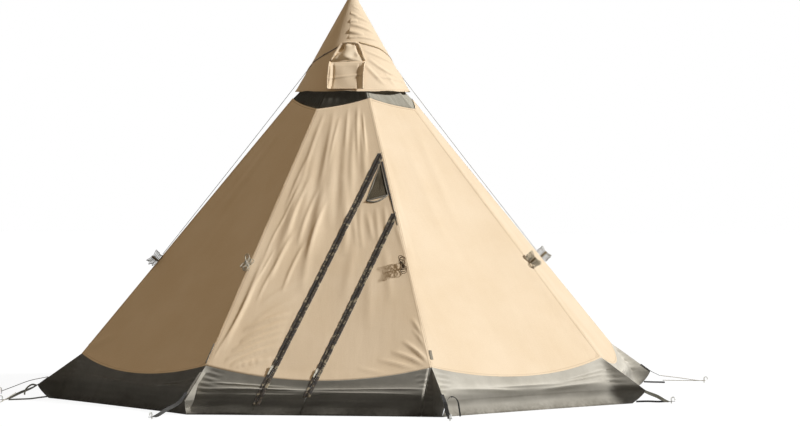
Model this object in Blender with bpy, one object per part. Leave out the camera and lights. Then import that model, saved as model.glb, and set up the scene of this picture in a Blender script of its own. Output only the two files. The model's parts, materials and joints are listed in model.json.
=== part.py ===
# Eight sided pyramid tent: canvas canopy on one centre pole, door with two slanting zips,
# vented storm cap, mud skirt, peg straps, pegs and guy cords.
# Metres, +Z up. The origin is under the centre of the pole foot. The door faces -Y.
# Faces count from the door, 0, anticlockwise seen from above. Ridge n starts face n.
import math

import bmesh
import bpy
from mathutils import Vector

# Canopy
SIDES = 8
RIDGE_FLOOR_RADIUS = 1.882
VENT_RADIUS = 0.374
VENT_PEAK_HEIGHT = 1.77
VENT_CUSP_HEIGHT = 1.705
CLOTH = 0.002
NET_CLOTH = 0.001
GAP = 0.0003

# Skirt: its seam to the wall sags between the ridges, and its crease is pulled out at them
SKIRT_RIDGE_HEIGHT = 0.26
SKIRT_MID_HEIGHT = 0.185
CREASE_HEIGHT = 0.08
CREASE_RIDGE_RADIUS = 1.92
CREASE_MID_APOTHEM = 1.70
HEM_RIDGE_RADIUS = 1.86
HEM_MID_APOTHEM = 1.70
PLEAT_DEPTH = 0.006
PLEAT_START_SHARE = 0.75
PLEAT_END_SHARE = 0.99
SKIRT_STEPS = 16
PULL_POWER_SHARE = 3

# Door: each zip runs from the front right ridge down to the left, and a cone about that
# ridge parts the swinging skirt from the fixed corner
ZIP_1_TOP = 1.45
ZIP_1_FLOOR_ACROSS = -0.354
ZIP_1_END_HEIGHT = 0.054
ZIP_2_TOP = 1.105
ZIP_2_FLOOR_ACROSS = -0.090
ZIP_2_END_HEIGHT = 0.096
ZIP_SLIT = 0.0026
TAPE_GAP = 0.0024
DOOR_TIP_WIDTH = 0.005
TAPE_WIDTH = 0.020
TAPE_THICKNESS = 0.0012
TAPE_RIDGE_CLEARANCE = 0.003
TAPE_START_WIDTH = 0.002
TAPE_SKIRT_CLEARANCE = 0.0008
CORNER_CONE_RISE = 0.04
CORNER_CONE_LENGTH = 0.46
CORNER_CONE_RADIUS = 0.165
CORNER_CONE_CLEARANCE = 0.0012
CORNER_NEAR_SHARE = 0.8
CORNER_FAR_SHARE = 1.1
CORNER_TOP_SHARE = 1.5

# Net window in the door band
WINDOW_TOP_HEIGHT = 1.385
WINDOW_TOP_ACROSS = 0.246
WINDOW_LEFT_HEIGHT = 1.173
WINDOW_LEFT_ACROSS = 0.181
WINDOW_RIGHT_HEIGHT = 1.202
WINDOW_RIGHT_ACROSS = 0.306
WINDOW_CUT_DEPTH = 0.018

# Zip slider
SLIDER_LENGTH = 0.030
SLIDER_WIDTH = 0.014
SLIDER_HEIGHT = 0.007
SLIDER_WAIST_SHARE = 0.7
SLIDER_ABOVE_SKIRT = 0.046
PULL_LENGTH = 0.042
PULL_WIDTH = 0.008
PULL_THICKNESS = 0.0025

# Cap
TENT_HEIGHT = 2.40
CAP_SEGMENTS = 24
CAP_HEM_RADIUS = 0.345
CAP_HEM_HEIGHT = 1.81
CAP_SHOULDER_RADIUS = 0.030
CAP_POINT_DROP = 0.030
CAP_SHOULDER_HEIGHT = TENT_HEIGHT - CAP_POINT_DROP
CAP_RISE = CAP_SHOULDER_HEIGHT - CAP_HEM_HEIGHT
NET_TOP_SHARE = 0.482
NET_TOP_HEIGHT = CAP_HEM_HEIGHT + CAP_RISE * NET_TOP_SHARE
CAP_CORD_SHARE = 0.3

# Smoke hatch, an arch with gathered cloth over an oblong cover, placed by shares of the cap
HATCH_WIDTH_SHARE = 0.304
HATCH_SILL_SHARE = 0.330
HATCH_TOP_SHARE = 0.527
COVER_TOP_SHARE = 0.312
COVER_BOTTOM_SHARE = 0.027
HATCH_HALF_WIDTH = CAP_HEM_RADIUS * HATCH_WIDTH_SHARE
HATCH_SILL_HEIGHT = CAP_HEM_HEIGHT + CAP_RISE * HATCH_SILL_SHARE
HATCH_TOP_HEIGHT = CAP_HEM_HEIGHT + CAP_RISE * HATCH_TOP_SHARE
COVER_HALF_WIDTH = HATCH_HALF_WIDTH
COVER_TOP_HEIGHT = CAP_HEM_HEIGHT + CAP_RISE * COVER_TOP_SHARE
COVER_BOTTOM_HEIGHT = CAP_HEM_HEIGHT + CAP_RISE * COVER_BOTTOM_SHARE
HATCH_CROWN_SHARE = 0.94
HATCH_BULGE = 0.014
HATCH_FOLD_DEPTH = 0.005
HATCH_ROWS = 10
HATCH_COLUMNS = 14

# Centre pole
POLE_RADIUS = 0.019
POLE_WALL = 0.0025
UPPER_BOTTOM_HEIGHT = 0.90
UPPER_TOP_DROP = 0.040
UPPER_TOP_HEIGHT = NET_TOP_HEIGHT - UPPER_TOP_DROP
POLE_OVERLAP = 0.25
FOOT_RADIUS = 0.032
FOOT_NECK_RADIUS = 0.023
FOOT_RIM = 0.010
FOOT_HEIGHT = 0.050
FOOT_FLOOR = 0.012
COLLAR_RADIUS = 0.027
COLLAR_GRIP_DEPTH = 0.0015
COLLAR_HEIGHT = 0.065
COLLAR_LIP = 0.022
TIP_SPIGOT = 0.060
TIP_FLANGE_RADIUS = 0.045
TIP_FLANGE_THICKNESS = 0.008
TIP_SHAFT_RADIUS = 0.012
TIP_HEAD_RADIUS = 0.020
TIP_HEAD_HEIGHT = 0.030
ROUND_SEGMENTS = 24

# Straps and pegs
STRAP_WIDTH = 0.020
STRAP_THICKNESS = 0.0016
STRAP_SEWN_LENGTH = 0.075
STRAP_END = 0.022
CORD_STRAP_RIDGE = 3
CORD_STRAP_RADIUS = 1.984
CORD_STRAP_HEIGHT = 0.050
PEG_RADIUS = 0.004
PEG_HOLE_CLEARANCE = 0.0006
PEG_NECK_HEIGHT = 0.026
PEG_HOOK_RADIUS = 0.011
PEG_TAIL = 0.006
PEG_STRAP_HEIGHT = 0.012
PEG_ARC_STEPS = 6

# Hanks and cords
HANK_HEIGHT = 0.80
HANK_HALF_LENGTH = 0.046
HANK_HALF_WIDTH = 0.026
HANK_CORD = 0.003
HANK_PITCH = 0.0058
HANK_LOOPS = 3
HANK_LOOP_POINTS = 24
HANK_WAIST_SHARE = 0.35
CAP_CORD = 0.003
GUY_CORD = 0.004
CORD_POINTS = 56
GUY_POINTS = 40

RIDGE_NAMES = ("front_left", "front_right", "right_front", "right_back",
               "back_right", "back_left", "left_back", "left_front")
FACE_NAMES = ("door", "front_right", "right", "back_right", "back", "back_left", "left",
              "front_left")
# Where each ridge is pegged: distance from the pole, and degrees round from the ridge
PEG_PLACES = ((2.187, -0.4), (2.093, -0.7), (2.060, 3.0), (2.280, 0.0),
              (2.150, 0.0), (2.150, 0.0), (2.150, 0.0), (2.172, 5.0))

SECTOR = 2 * math.pi / SIDES
TAN_HALF = math.tan(SECTOR / 2)
COS_HALF = math.cos(SECTOR / 2)
RIDGE_SLOPE = (RIDGE_FLOOR_RADIUS - VENT_RADIUS) / VENT_PEAK_HEIGHT
WALL_RUN = math.hypot(1, RIDGE_SLOPE * COS_HALF)
UP = Vector((0, 0, 1))


def clear_scene():
    for obj in list(bpy.data.objects):
        bpy.data.objects.remove(obj, do_unlink=True)


def material(name, color, roughness=0.9, metallic=0.0):
    found = bpy.data.materials.get(name)
    if found:
        return found
    made = bpy.data.materials.new(name)
    made.use_nodes = True
    shader = made.node_tree.nodes["Principled BSDF"]
    shader.inputs["Base Color"].default_value = (*color, 1)
    shader.inputs["Roughness"].default_value = roughness
    shader.inputs["Metallic"].default_value = metallic
    return made


def canvas():
    return material("canvas", (0.62, 0.49, 0.33))


def skirt_cloth():
    return material("skirt_cloth", (0.16, 0.14, 0.12))


def netting():
    return material("netting", (0.05, 0.05, 0.05))


def zip_tape():
    return material("zip_tape", (0.07, 0.04, 0.02))


def webbing():
    return material("webbing", (0.10, 0.09, 0.07))


def cord_yarn():
    return material("cord_yarn", (0.45, 0.38, 0.27))


def alloy():
    return material("pole_alloy", (0.75, 0.76, 0.78), 0.35, 1.0)


def peg_steel():
    return material("peg_steel", (0.35, 0.35, 0.36), 0.4, 1.0)


def rubber():
    return material("foot_rubber", (0.02, 0.02, 0.02))


def slider_metal():
    return material("slider_metal", (0.30, 0.24, 0.16), 0.4, 1.0)


# Shapes


def add_mesh(name, points, faces, finish, smooth=False):
    mesh = bpy.data.meshes.new(name)
    mesh.from_pydata([tuple(p) for p in points], [], faces)
    form = bmesh.new()
    form.from_mesh(mesh)
    bmesh.ops.recalc_face_normals(form, faces=form.faces)
    form.to_mesh(mesh)
    form.free()
    mesh.materials.append(finish)
    if smooth:
        mesh.shade_smooth()
        mesh.set_sharp_from_angle(angle=math.radians(40))
    obj = bpy.data.objects.new(name, mesh)
    bpy.context.collection.objects.link(obj)
    return obj


def loft(name, stations, finish, ring=False, smooth=False, thin=False):
    """A skin through closed cross-sections of as many points each. A thin one is cloth whose
    sections hold the outer line and then the inner one back: both sides get the same folds."""
    count = len(stations[0])
    points = [p for station in stations for p in station]
    faces = []
    last = len(stations) if ring else len(stations) - 1
    for i in range(last):
        a, b = i * count, (i + 1) % len(stations) * count
        for j in range(count):
            k = (j + 1) % count
            if thin and j < count // 2:
                faces += [(a + j, a + k, b + k), (a + j, b + k, b + j)]
            elif thin:
                faces += [(a + j, a + k, b + j), (a + k, b + k, b + j)]
            else:
                faces.append((a + j, a + k, b + k, b + j))
    if not ring:
        faces.append(tuple(range(count)))
        end = (len(stations) - 1) * count
        faces.append(tuple(range(end, end + count)))
    return add_mesh(name, points, faces, finish, smooth)


def revolve(name, profile, finish, segments=ROUND_SEGMENTS, grip=0.0):
    """A turned solid round the pole's axis. With grip, every other point stands in."""
    stations = []
    for i in range(segments):
        angle = 2 * math.pi * i / segments
        inset = grip if i % 2 else 0.0
        stations.append([
            Vector(((r - inset * mark) * math.cos(angle), (r - inset * mark) * math.sin(angle), z))
            for r, z, mark in profile
        ])
    return loft(name, stations, finish, ring=True, smooth=True)


def solid_revolve(name, profile, finish, segments=ROUND_SEGMENTS):
    """A turned solid whose profile runs from its top centre out and down to its bottom centre."""
    points = [Vector((0, 0, profile[0][1]))]
    faces = []
    for r, z in profile[1:-1]:
        for i in range(segments):
            angle = 2 * math.pi * i / segments
            points.append(Vector((r * math.cos(angle), r * math.sin(angle), z)))
    points.append(Vector((0, 0, profile[-1][1])))
    rows = len(profile) - 2
    bottom = len(points) - 1
    for i in range(segments):
        k = (i + 1) % segments
        faces.append((0, 1 + i, 1 + k))
        for row in range(rows - 1):
            a = 1 + row * segments
            faces.append((a + i, a + segments + i, a + segments + k, a + k))
        a = 1 + (rows - 1) * segments
        faces.append((a + i, bottom, a + k))
    return add_mesh(name, points, faces, finish, smooth=True)


def smooth_route(points, count):
    """Points read from one smooth curve through the route's own points, as many to each span."""
    route = [Vector(p) for p in points]
    spans = len(route) - 1
    gaps = [(b - a).length for a, b in zip(route, route[1:])]
    steps = [(b - a) / gap for a, b, gap in zip(route, route[1:], gaps)]
    slopes = [steps[0]]
    for i in range(1, spans):
        slopes.append((steps[i - 1] * gaps[i] + steps[i] * gaps[i - 1]) / (gaps[i - 1] + gaps[i]))
    slopes.append(steps[-1])
    found = []
    for i in range(count):
        along = spans * i / (count - 1)
        span = min(int(along), spans - 1)
        t = along - span
        bend = 3 * t ** 2 - 2 * t ** 3
        leave, arrive = t - 2 * t ** 2 + t ** 3, t ** 3 - t ** 2
        found.append(route[span].lerp(route[span + 1], bend)
                     + gaps[span] * (leave * slopes[span] + arrive * slopes[span + 1]))
    return found


def tube(name, points, diameter, finish, resolution=2):
    curve = bpy.data.curves.new(name, "CURVE")
    curve.dimensions = "3D"
    curve.bevel_depth = diameter / 2
    curve.bevel_resolution = resolution
    curve.use_fill_caps = True
    spline = curve.splines.new("POLY")
    spline.points.add(len(points) - 1)
    for point, place in zip(spline.points, points):
        point.co = (*place, 1)
    curve.materials.append(finish)
    obj = bpy.data.objects.new(name, curve)
    bpy.context.collection.objects.link(obj)
    return obj


def cut(obj, cutter, operation="DIFFERENCE", solver="EXACT"):
    cutter.hide_render = True
    cutter.display_type = "WIRE"
    step = obj.modifiers.new(cutter.name, "BOOLEAN")
    step.operation = operation
    step.solver = solver
    step.object = cutter


# The canopy's planes


def face_point(face, across, out, up):
    """A point by how far across its face, out from the pole and up it lies."""
    angle = face * SECTOR
    return Vector((out * math.sin(angle) + across * math.cos(angle),
                   across * math.sin(angle) - out * math.cos(angle), up))


def ridge_point(ridge, radius, up, turn=0.0):
    angle = (ridge - 0.5) * SECTOR + turn
    return Vector((radius * math.sin(angle), -radius * math.cos(angle), up))


def wall_radius(up):
    return RIDGE_FLOOR_RADIUS - RIDGE_SLOPE * up


def wall_out(up):
    return wall_radius(up) * COS_HALF


def mitre(out):
    """Half the width of a face where it meets its neighbours, less half the seam."""
    return out * TAN_HALF - GAP / 2 / COS_HALF


def vent_height(ridge):
    return VENT_PEAK_HEIGHT if ridge % 2 else VENT_CUSP_HEIGHT


def plate(name, face, outline, finish, cloth=CLOTH, back=0.0):
    """Flat cloth on a wall's plane. Each point of the outline has a side, -1 or 1 on a ridge
    and else 0, a place across, which a ridge works out, and a height."""
    rings = []
    for depth in (back, back + cloth):
        ring = []
        for side, across, up in outline:
            out = wall_out(up) - depth * WALL_RUN
            ring.append(face_point(face, side * mitre(out) if side else across, out, up))
        rings.append(ring)
    count = len(outline)
    faces = [tuple(range(count)), tuple(range(count, 2 * count))]
    for i in range(count):
        k = (i + 1) % count
        faces.append((i, k, count + k, count + i))
    return add_mesh(name, rings[0] + rings[1], faces, finish)


# The seam between wall and skirt, and the skirt's own three levels

SEAM_HALF = wall_out(SKIRT_RIDGE_HEIGHT) * TAN_HALF
CREASE_HALF = CREASE_RIDGE_RADIUS * COS_HALF * TAN_HALF
HEM_HALF = HEM_RIDGE_RADIUS * COS_HALF * TAN_HALF


def seam_height(across):
    sag = SKIRT_RIDGE_HEIGHT - SKIRT_MID_HEIGHT
    return SKIRT_MID_HEIGHT + sag * (across / SEAM_HALF) ** 2


def pulled(mid, ridge_radius, share):
    return mid + (ridge_radius * COS_HALF - mid) * abs(share) ** PULL_POWER_SHARE


def pleat(share):
    """The small folds beside each ridge, none at the ridge itself."""
    near = abs(share)
    if near < PLEAT_START_SHARE or near > PLEAT_END_SHARE:
        return 0.0
    return PLEAT_DEPTH * (1 if round(near * SKIRT_STEPS) % 2 else -1)


def crease_out(across):
    share = across / CREASE_HALF
    return pulled(CREASE_MID_APOTHEM, CREASE_RIDGE_RADIUS, share) + pleat(share)


def hem_out(across):
    return pulled(HEM_MID_APOTHEM, HEM_RIDGE_RADIUS, across / HEM_HALF)


def crossing(line_a, line_b):
    (ax, az), (bx, bz) = line_a
    (cx, cz), (dx, dz) = line_b
    det = (bx - ax) * (dz - cz) - (bz - az) * (dx - cx)
    t = ((cx - ax) * (dz - cz) - (cz - az) * (dx - cx)) / det
    return ax + (bx - ax) * t, az + (bz - az) * t


def inner_section(section):
    """The section's line moved in by the cloth, with its ends level with the outer ones."""
    moved = []
    for (ax, az), (bx, bz) in zip(section, section[1:]):
        length = math.hypot(bx - ax, bz - az)
        step_x = CLOTH * (bz - az) / length
        step_z = -CLOTH * (bx - ax) / length
        moved.append(((ax + step_x, az + step_z), (bx + step_x, bz + step_z)))
    top, bottom = section[0], section[-1]
    found = [crossing(moved[0], (top, (top[0] + CLOTH, top[1])))]
    for first, second in zip(moved, moved[1:]):
        found.append(crossing(first, second))
    found.append(crossing(moved[-1], (bottom, (bottom[0] + CLOTH, bottom[1]))))
    return found


def skirt_section(acrosses):
    """Outer line of the skirt at places across the seam, the crease and the hem."""
    top = seam_height(acrosses[0]) - GAP
    return [(wall_out(top), top), (crease_out(acrosses[1]), CREASE_HEIGHT),
            (hem_out(acrosses[2]), 0.0)]


def skirt_station(face, share, gap=0.0):
    """A cross-section at a share of the half face, with a seam gap at an end."""
    acrosses = [share * half for half in (SEAM_HALF, CREASE_HALF, HEM_HALF)]
    outer = skirt_section(acrosses)
    inner = inner_section(outer)
    points = [face_point(face, a + gap, out, up) for a, (out, up) in zip(acrosses, outer)]
    for a, (out, up), (was, _) in reversed(list(zip(acrosses, inner, outer))):
        points.append(face_point(face, a * out / was + gap, out, up))
    return points


def skirt_cut_station(line, shift):
    """A cross-section where a zip parts the door's skirt."""
    top = seam_height(line(seam_meet(line, shift)) + shift)
    acrosses = [line(up) + shift for up in (top, CREASE_HEIGHT, 0.0)]
    outer = skirt_section(acrosses)
    inner = inner_section(outer)
    points = [face_point(0, a, out, up) for a, (out, up) in zip(acrosses, outer)]
    points += [face_point(0, a, out, up) for a, (out, up) in reversed(list(zip(acrosses, inner)))]
    return points


def shares_between(low, high):
    steps = [-1 + 2 * i / SKIRT_STEPS for i in range(SKIRT_STEPS + 1)]
    return [s for s in steps if low < s < high]


# Zip lines


def zip_line(top, floor_across):
    top_across = wall_out(top) * TAN_HALF

    def across(up):
        return floor_across + (top_across - floor_across) * up / top

    return across


zip_1 = zip_line(ZIP_1_TOP, ZIP_1_FLOOR_ACROSS)
zip_2 = zip_line(ZIP_2_TOP, ZIP_2_FLOOR_ACROSS)


def seam_meet(line, shift):
    """The height at which a zip's line, moved by the shift, meets the skirt's seam."""
    up = SKIRT_MID_HEIGHT
    for _ in range(30):
        up = seam_height(line(up) + shift)
    return up


def ridge_meet(line, shift):
    """The height at which a zip's line, moved by the shift, meets the front right ridge."""
    base = line(0.0) + shift - mitre(wall_out(0.0))
    return base / closing_rate(line)


def closing_rate(line):
    """How much nearer a zip comes to the front right ridge for each step up."""
    up = SKIRT_RIDGE_HEIGHT
    return (line(0.0) - line(up) + mitre(wall_out(up)) - mitre(wall_out(0.0))) / up


def door_tip(line, shift):
    """The blunt tip of a door piece where its zip runs up to the ridge."""
    up = ridge_meet(line, shift) + DOOR_TIP_WIDTH / closing_rate(line)
    return [(1, 0, up), (0, line(up) + shift, up)]


def cut_shares(line):
    """The skirt's shares to either side of a zip, past which whole sections lie clear."""
    found = []
    for up, half in ((seam_meet(line, 0.0), SEAM_HALF), (CREASE_HEIGHT, CREASE_HALF),
                     (0.0, HEM_HALF)):
        found.append(line(up) / half)
    margin = ZIP_SLIT / SEAM_HALF * 2
    return min(found) - margin, max(found) + margin


def seam_run(face_shares):
    return [(0, s * SEAM_HALF, seam_height(s * SEAM_HALF)) for s in face_shares]


# Walls


def wall_panel(face):
    middle = seam_run(shares_between(-1, 1))
    outline = [(-1, 0, SKIRT_RIDGE_HEIGHT), *middle, (1, 0, SKIRT_RIDGE_HEIGHT),
               (1, 0, vent_height(face + 1)), (-1, 0, vent_height(face))]
    return plate(f"wall_{FACE_NAMES[face]}", face, outline, canvas())


def door_panel_left():
    shift = -ZIP_SLIT / 2
    meet = seam_meet(zip_1, shift)
    low, _ = cut_shares(zip_1)
    outline = [(-1, 0, SKIRT_RIDGE_HEIGHT), *seam_run(shares_between(-1, low)),
               (0, zip_1(meet) + shift, meet), (1, 0, ridge_meet(zip_1, shift)),
               (1, 0, vent_height(1)), (-1, 0, vent_height(0))]
    return plate("door_panel_left", 0, outline, canvas())


def door_band():
    left, right = ZIP_SLIT / 2, -ZIP_SLIT / 2
    foot_1, foot_2 = seam_meet(zip_1, left), seam_meet(zip_2, right)
    _, low = cut_shares(zip_1)
    high, _ = cut_shares(zip_2)
    outline = [(0, zip_1(foot_1) + left, foot_1), *seam_run(shares_between(low, high)),
               (0, zip_2(foot_2) + right, foot_2), (1, 0, ridge_meet(zip_2, right)),
               *door_tip(zip_1, left)]
    band = plate("door_band", 0, outline, canvas())
    cut(band, window_cutter())
    return band


def window_outline():
    return [(0, WINDOW_TOP_ACROSS, WINDOW_TOP_HEIGHT), (0, WINDOW_LEFT_ACROSS, WINDOW_LEFT_HEIGHT),
            (0, WINDOW_RIGHT_ACROSS, WINDOW_RIGHT_HEIGHT)]


def window_cutter():
    return plate("window_cutter", 0, window_outline(), netting(), WINDOW_CUT_DEPTH,
                 (CLOTH - WINDOW_CUT_DEPTH) / 2)


def door_vent_net():
    """A triangle drawn in towards its centre by the seam's gap."""
    corners = [Vector((a, h, 0)) for _, a, h in window_outline()]
    centre = sum(corners, Vector()) / 3
    outline = []
    for corner in corners:
        inward = centre - corner
        moved = corner + inward * (4 * GAP / inward.length)
        outline.append((0, moved.x, moved.y))
    return plate("door_vent_net", 0, outline, netting(), NET_CLOTH, (CLOTH - NET_CLOTH) / 2)


def door_flap():
    shift = ZIP_SLIT / 2
    meet = seam_meet(zip_2, shift)
    _, low = cut_shares(zip_2)
    outline = [(0, zip_2(meet) + shift, meet), *seam_run(shares_between(low, 1)),
               (1, 0, SKIRT_RIDGE_HEIGHT), *door_tip(zip_2, shift)]
    return plate("door_flap", 0, outline, canvas())


# Skirt


def corner_cone(name, spread):
    """A cone about the front right ridge, its point just above the skirt."""
    top = ridge_point(1, wall_radius(SKIRT_RIDGE_HEIGHT), SKIRT_RIDGE_HEIGHT)
    floor = ridge_point(1, RIDGE_FLOOR_RADIUS, 0.0)
    axis = (floor - top).normalized()
    side = axis.cross(UP).normalized()
    other = axis.cross(side)
    point = top - axis * CORNER_CONE_RISE
    end = point + axis * CORNER_CONE_LENGTH
    radius = CORNER_CONE_RADIUS + spread
    points = [point]
    turns = 2 * ROUND_SEGMENTS
    for i in range(turns):
        angle = 2 * math.pi * i / turns
        points.append(end + radius * (side * math.cos(angle) + other * math.sin(angle)))
    faces = [(0, 1 + i, 1 + (i + 1) % turns) for i in range(turns)]
    faces.append(tuple(range(1, turns + 1)))
    return add_mesh(name, points, faces, skirt_cloth())


def corner_block():
    """What the fixed corner loses on the door's side, up to the ridge's own plane."""
    low, high = CREASE_MID_APOTHEM * CORNER_NEAR_SHARE, CREASE_RIDGE_RADIUS * CORNER_FAR_SHARE
    top, bottom = SKIRT_RIDGE_HEIGHT * CORNER_TOP_SHARE, -SKIRT_RIDGE_HEIGHT
    angle = 0.5 * SECTOR
    leftward = Vector((-math.cos(angle), -math.sin(angle), 0)) * SEAM_HALF
    ring = [ridge_point(1, low, bottom), ridge_point(1, high, bottom),
            ridge_point(1, high, top), ridge_point(1, low, top)]
    points = ring + [p + leftward for p in ring]
    faces = [(0, 1, 2, 3), (4, 5, 6, 7), (0, 1, 5, 4), (1, 2, 6, 5), (2, 3, 7, 6), (3, 0, 4, 7)]
    return add_mesh("corner_block", points, faces, skirt_cloth())


def skirt_faces(faces):
    """Whole faces in a row, with one section where two of them meet."""
    stations = []
    for face in faces:
        stations += [skirt_station(face, s) for s in shares_between(-1, 1)]
        stations.append(skirt_station(face, 1))
    return stations


def skirt_right():
    corner = [skirt_station(0, s) for s in [*shares_between(0.5, 1), 1]]
    rest = skirt_faces((1, 2, 3, 4))[:-1]
    end = skirt_station(4, 1, -GAP / 2)
    obj = loft("skirt_right", [*corner, *rest, end], skirt_cloth(), thin=True)
    block = corner_block()
    cut(block, corner_cone("inner_cone", -CORNER_CONE_CLEARANCE))
    cut(obj, block, solver="MANIFOLD")
    return obj


def skirt_left():
    start = skirt_station(5, -1, GAP / 2)
    low, _ = cut_shares(zip_1)
    front = [skirt_station(0, s) for s in shares_between(-1, low)]
    return loft("skirt_left", [start, *skirt_faces((5, 6, 7)), *front,
                               skirt_cut_station(zip_1, -ZIP_SLIT / 2)], skirt_cloth(),
                thin=True)


def skirt_front_band():
    _, low = cut_shares(zip_1)
    high, _ = cut_shares(zip_2)
    middle = [skirt_station(0, s) for s in shares_between(low, high)]
    return loft("skirt_front_band", [skirt_cut_station(zip_1, ZIP_SLIT / 2), *middle,
                                     skirt_cut_station(zip_2, -ZIP_SLIT / 2)], skirt_cloth(),
                thin=True)


def skirt_front_flap():
    _, low = cut_shares(zip_2)
    middle = [skirt_station(0, s) for s in [*shares_between(low, 1), 1]]
    obj = loft("skirt_front_flap", [skirt_cut_station(zip_2, ZIP_SLIT / 2), *middle],
               skirt_cloth(), thin=True)
    cut(obj, corner_cone("outer_cone", 0.0), solver="MANIFOLD")
    return obj


# Zips


def zip_tape_half(name, line, side, end_height):
    """One tape from the ridge to its end on the skirt. side is -1 for the left half."""
    near = side * TAPE_GAP / 2
    far = side * (TAPE_GAP / 2 + TAPE_WIDTH)
    closing = abs(closing_rate(line))
    if side > 0:
        starts = [(ridge_meet(line, near) - (TAPE_RIDGE_CLEARANCE + TAPE_START_WIDTH) / closing,
                   near + side * TAPE_START_WIDTH),
                  (ridge_meet(line, near) - (TAPE_RIDGE_CLEARANCE + TAPE_WIDTH) / closing, far)]
    else:
        starts = [(ridge_meet(line, near) - TAPE_RIDGE_CLEARANCE / closing, far)]
    low_seat = GAP + TAPE_SKIRT_CLEARANCE
    stations = []
    for up, edge in starts:
        stations.append(tape_section(line, up, near, edge, GAP * WALL_RUN))
    wall_end = max(seam_meet(line, near), seam_meet(line, far)) + 2 * CLOTH
    stations.append(tape_section(line, wall_end, near, far, GAP * WALL_RUN))
    if end_height < CREASE_HEIGHT:
        stations.append(tape_section(line, CREASE_HEIGHT, near, far, low_seat))
    stations.append(tape_section(line, end_height, near, far, low_seat))
    return loft(name, stations, zip_tape())


def cloth_out(across, up):
    """How far out the door's cloth lies, on the wall or on the skirt below it."""
    seam = seam_height(across)
    if up >= seam:
        return wall_out(up)
    if up >= CREASE_HEIGHT:
        share = (seam - up) / (seam - CREASE_HEIGHT)
        return wall_out(seam) + (crease_out(across) - wall_out(seam)) * share
    share = up / CREASE_HEIGHT
    return hem_out(across) + (crease_out(across) - hem_out(across)) * share


def tape_section(line, up, near, far, seat):
    out_near = cloth_out(line(up) + near, up) + seat
    out_far = cloth_out(line(up) + far, up) + seat
    out = max(out_near, out_far)
    thick = TAPE_THICKNESS * WALL_RUN
    return [face_point(0, line(up) + near, out, up), face_point(0, line(up) + far, out, up),
            face_point(0, line(up) + far, out + thick, up),
            face_point(0, line(up) + near, out + thick, up)]


def zip_frame(line, up):
    """Place, down-zip, across and outward directions of a zip at a height."""
    place = face_point(0, line(up), wall_out(up), up)
    below = face_point(0, line(0.0), wall_out(0.0), 0.0)
    down = (below - place).normalized()
    outward = Vector((0, -1, RIDGE_SLOPE * COS_HALF)).normalized()
    return place, down, outward.cross(down).normalized(), outward


def zip_slider(name, line):
    """A waisted slider body over the left tape, with a bridge that carries the pull."""
    up = seam_meet(line, 0.0) + SLIDER_ABOVE_SKIRT
    place, down, across, outward = zip_frame(line, up)
    if across.x > 0:
        across = -across
    base = place + across * (TAPE_GAP + SLIDER_WIDTH / 2)
    base += outward * (2 * GAP + TAPE_THICKNESS)
    half, waist = SLIDER_WIDTH / 2, SLIDER_WIDTH / 2 * SLIDER_WAIST_SHARE
    plan = [(-0.5, waist), (-0.2, half), (0.2, waist), (0.5, waist)]
    outline = [(share * SLIDER_LENGTH, w) for share, w in plan]
    outline += [(share * SLIDER_LENGTH, -w) for share, w in reversed(plan)]
    rings = [[base + down * a + across * b + outward * h for a, b in outline]
             for h in (0.0, SLIDER_HEIGHT)]
    slider = loft(name, rings, slider_metal())
    pull_start = SLIDER_LENGTH * 0.2
    low = SLIDER_HEIGHT - PULL_THICKNESS
    pull = [(pull_start, PULL_WIDTH / 2), (pull_start + PULL_LENGTH, PULL_WIDTH / 2),
            (pull_start + PULL_LENGTH, -PULL_WIDTH / 2), (pull_start, -PULL_WIDTH / 2)]
    rings = [[base + down * a + across * b + outward * h for a, b in pull]
             for h in (low, SLIDER_HEIGHT + PULL_THICKNESS / 2)]
    tab = loft(f"{name}_pull", rings, slider_metal())
    cut(slider, tab, "UNION")
    return slider


# Vent and cap


def vent_net():
    """Netting from the walls' top edges up to the flange on the pole."""
    inset = NET_CLOTH * WALL_RUN / COS_HALF
    top_radius = (TIP_FLANGE_RADIUS + GAP) / COS_HALF + inset
    stations = []
    for ridge in range(SIDES):
        low = vent_height(ridge) + GAP
        stations.append([
            ridge_point(ridge, wall_radius(low), low),
            ridge_point(ridge, top_radius, NET_TOP_HEIGHT),
            ridge_point(ridge, top_radius - inset, NET_TOP_HEIGHT),
            ridge_point(ridge, wall_radius(low) - inset, low),
        ])
    return loft("vent_net", stations, netting(), ring=True)


def cap_radius(up):
    rate = (CAP_HEM_RADIUS - CAP_SHOULDER_RADIUS) / CAP_RISE
    return CAP_HEM_RADIUS - rate * (up - CAP_HEM_HEIGHT)


def cap():
    outer = [(CAP_HEM_RADIUS, CAP_HEM_HEIGHT), (CAP_SHOULDER_RADIUS, CAP_SHOULDER_HEIGHT)]
    inset = cap_inset()
    inner = [(CAP_SHOULDER_RADIUS - inset, CAP_SHOULDER_HEIGHT - CLOTH),
             (CAP_HEM_RADIUS - inset, CAP_HEM_HEIGHT)]
    points, faces = [Vector((0, 0, TENT_HEIGHT))], []
    rows = [outer[1], outer[0], inner[1], inner[0]]
    for r, z in rows:
        for i in range(CAP_SEGMENTS):
            angle = 2 * math.pi * i / CAP_SEGMENTS
            points.append(Vector((r * math.cos(angle), r * math.sin(angle), z)))
    points.append(Vector((0, 0, cap_roof())))
    for i in range(CAP_SEGMENTS):
        k = (i + 1) % CAP_SEGMENTS
        faces.append((0, 1 + i, 1 + k))
        for row in range(3):
            a, b = 1 + row * CAP_SEGMENTS, 1 + (row + 1) * CAP_SEGMENTS
            faces.append((a + i, b + i, b + k, a + k))
        a = 1 + 3 * CAP_SEGMENTS
        faces.append((a + i, len(points) - 1, a + k))
    obj = add_mesh("cap", points, faces, canvas(), smooth=True)
    cut(obj, arch_cutter())
    return obj


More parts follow.
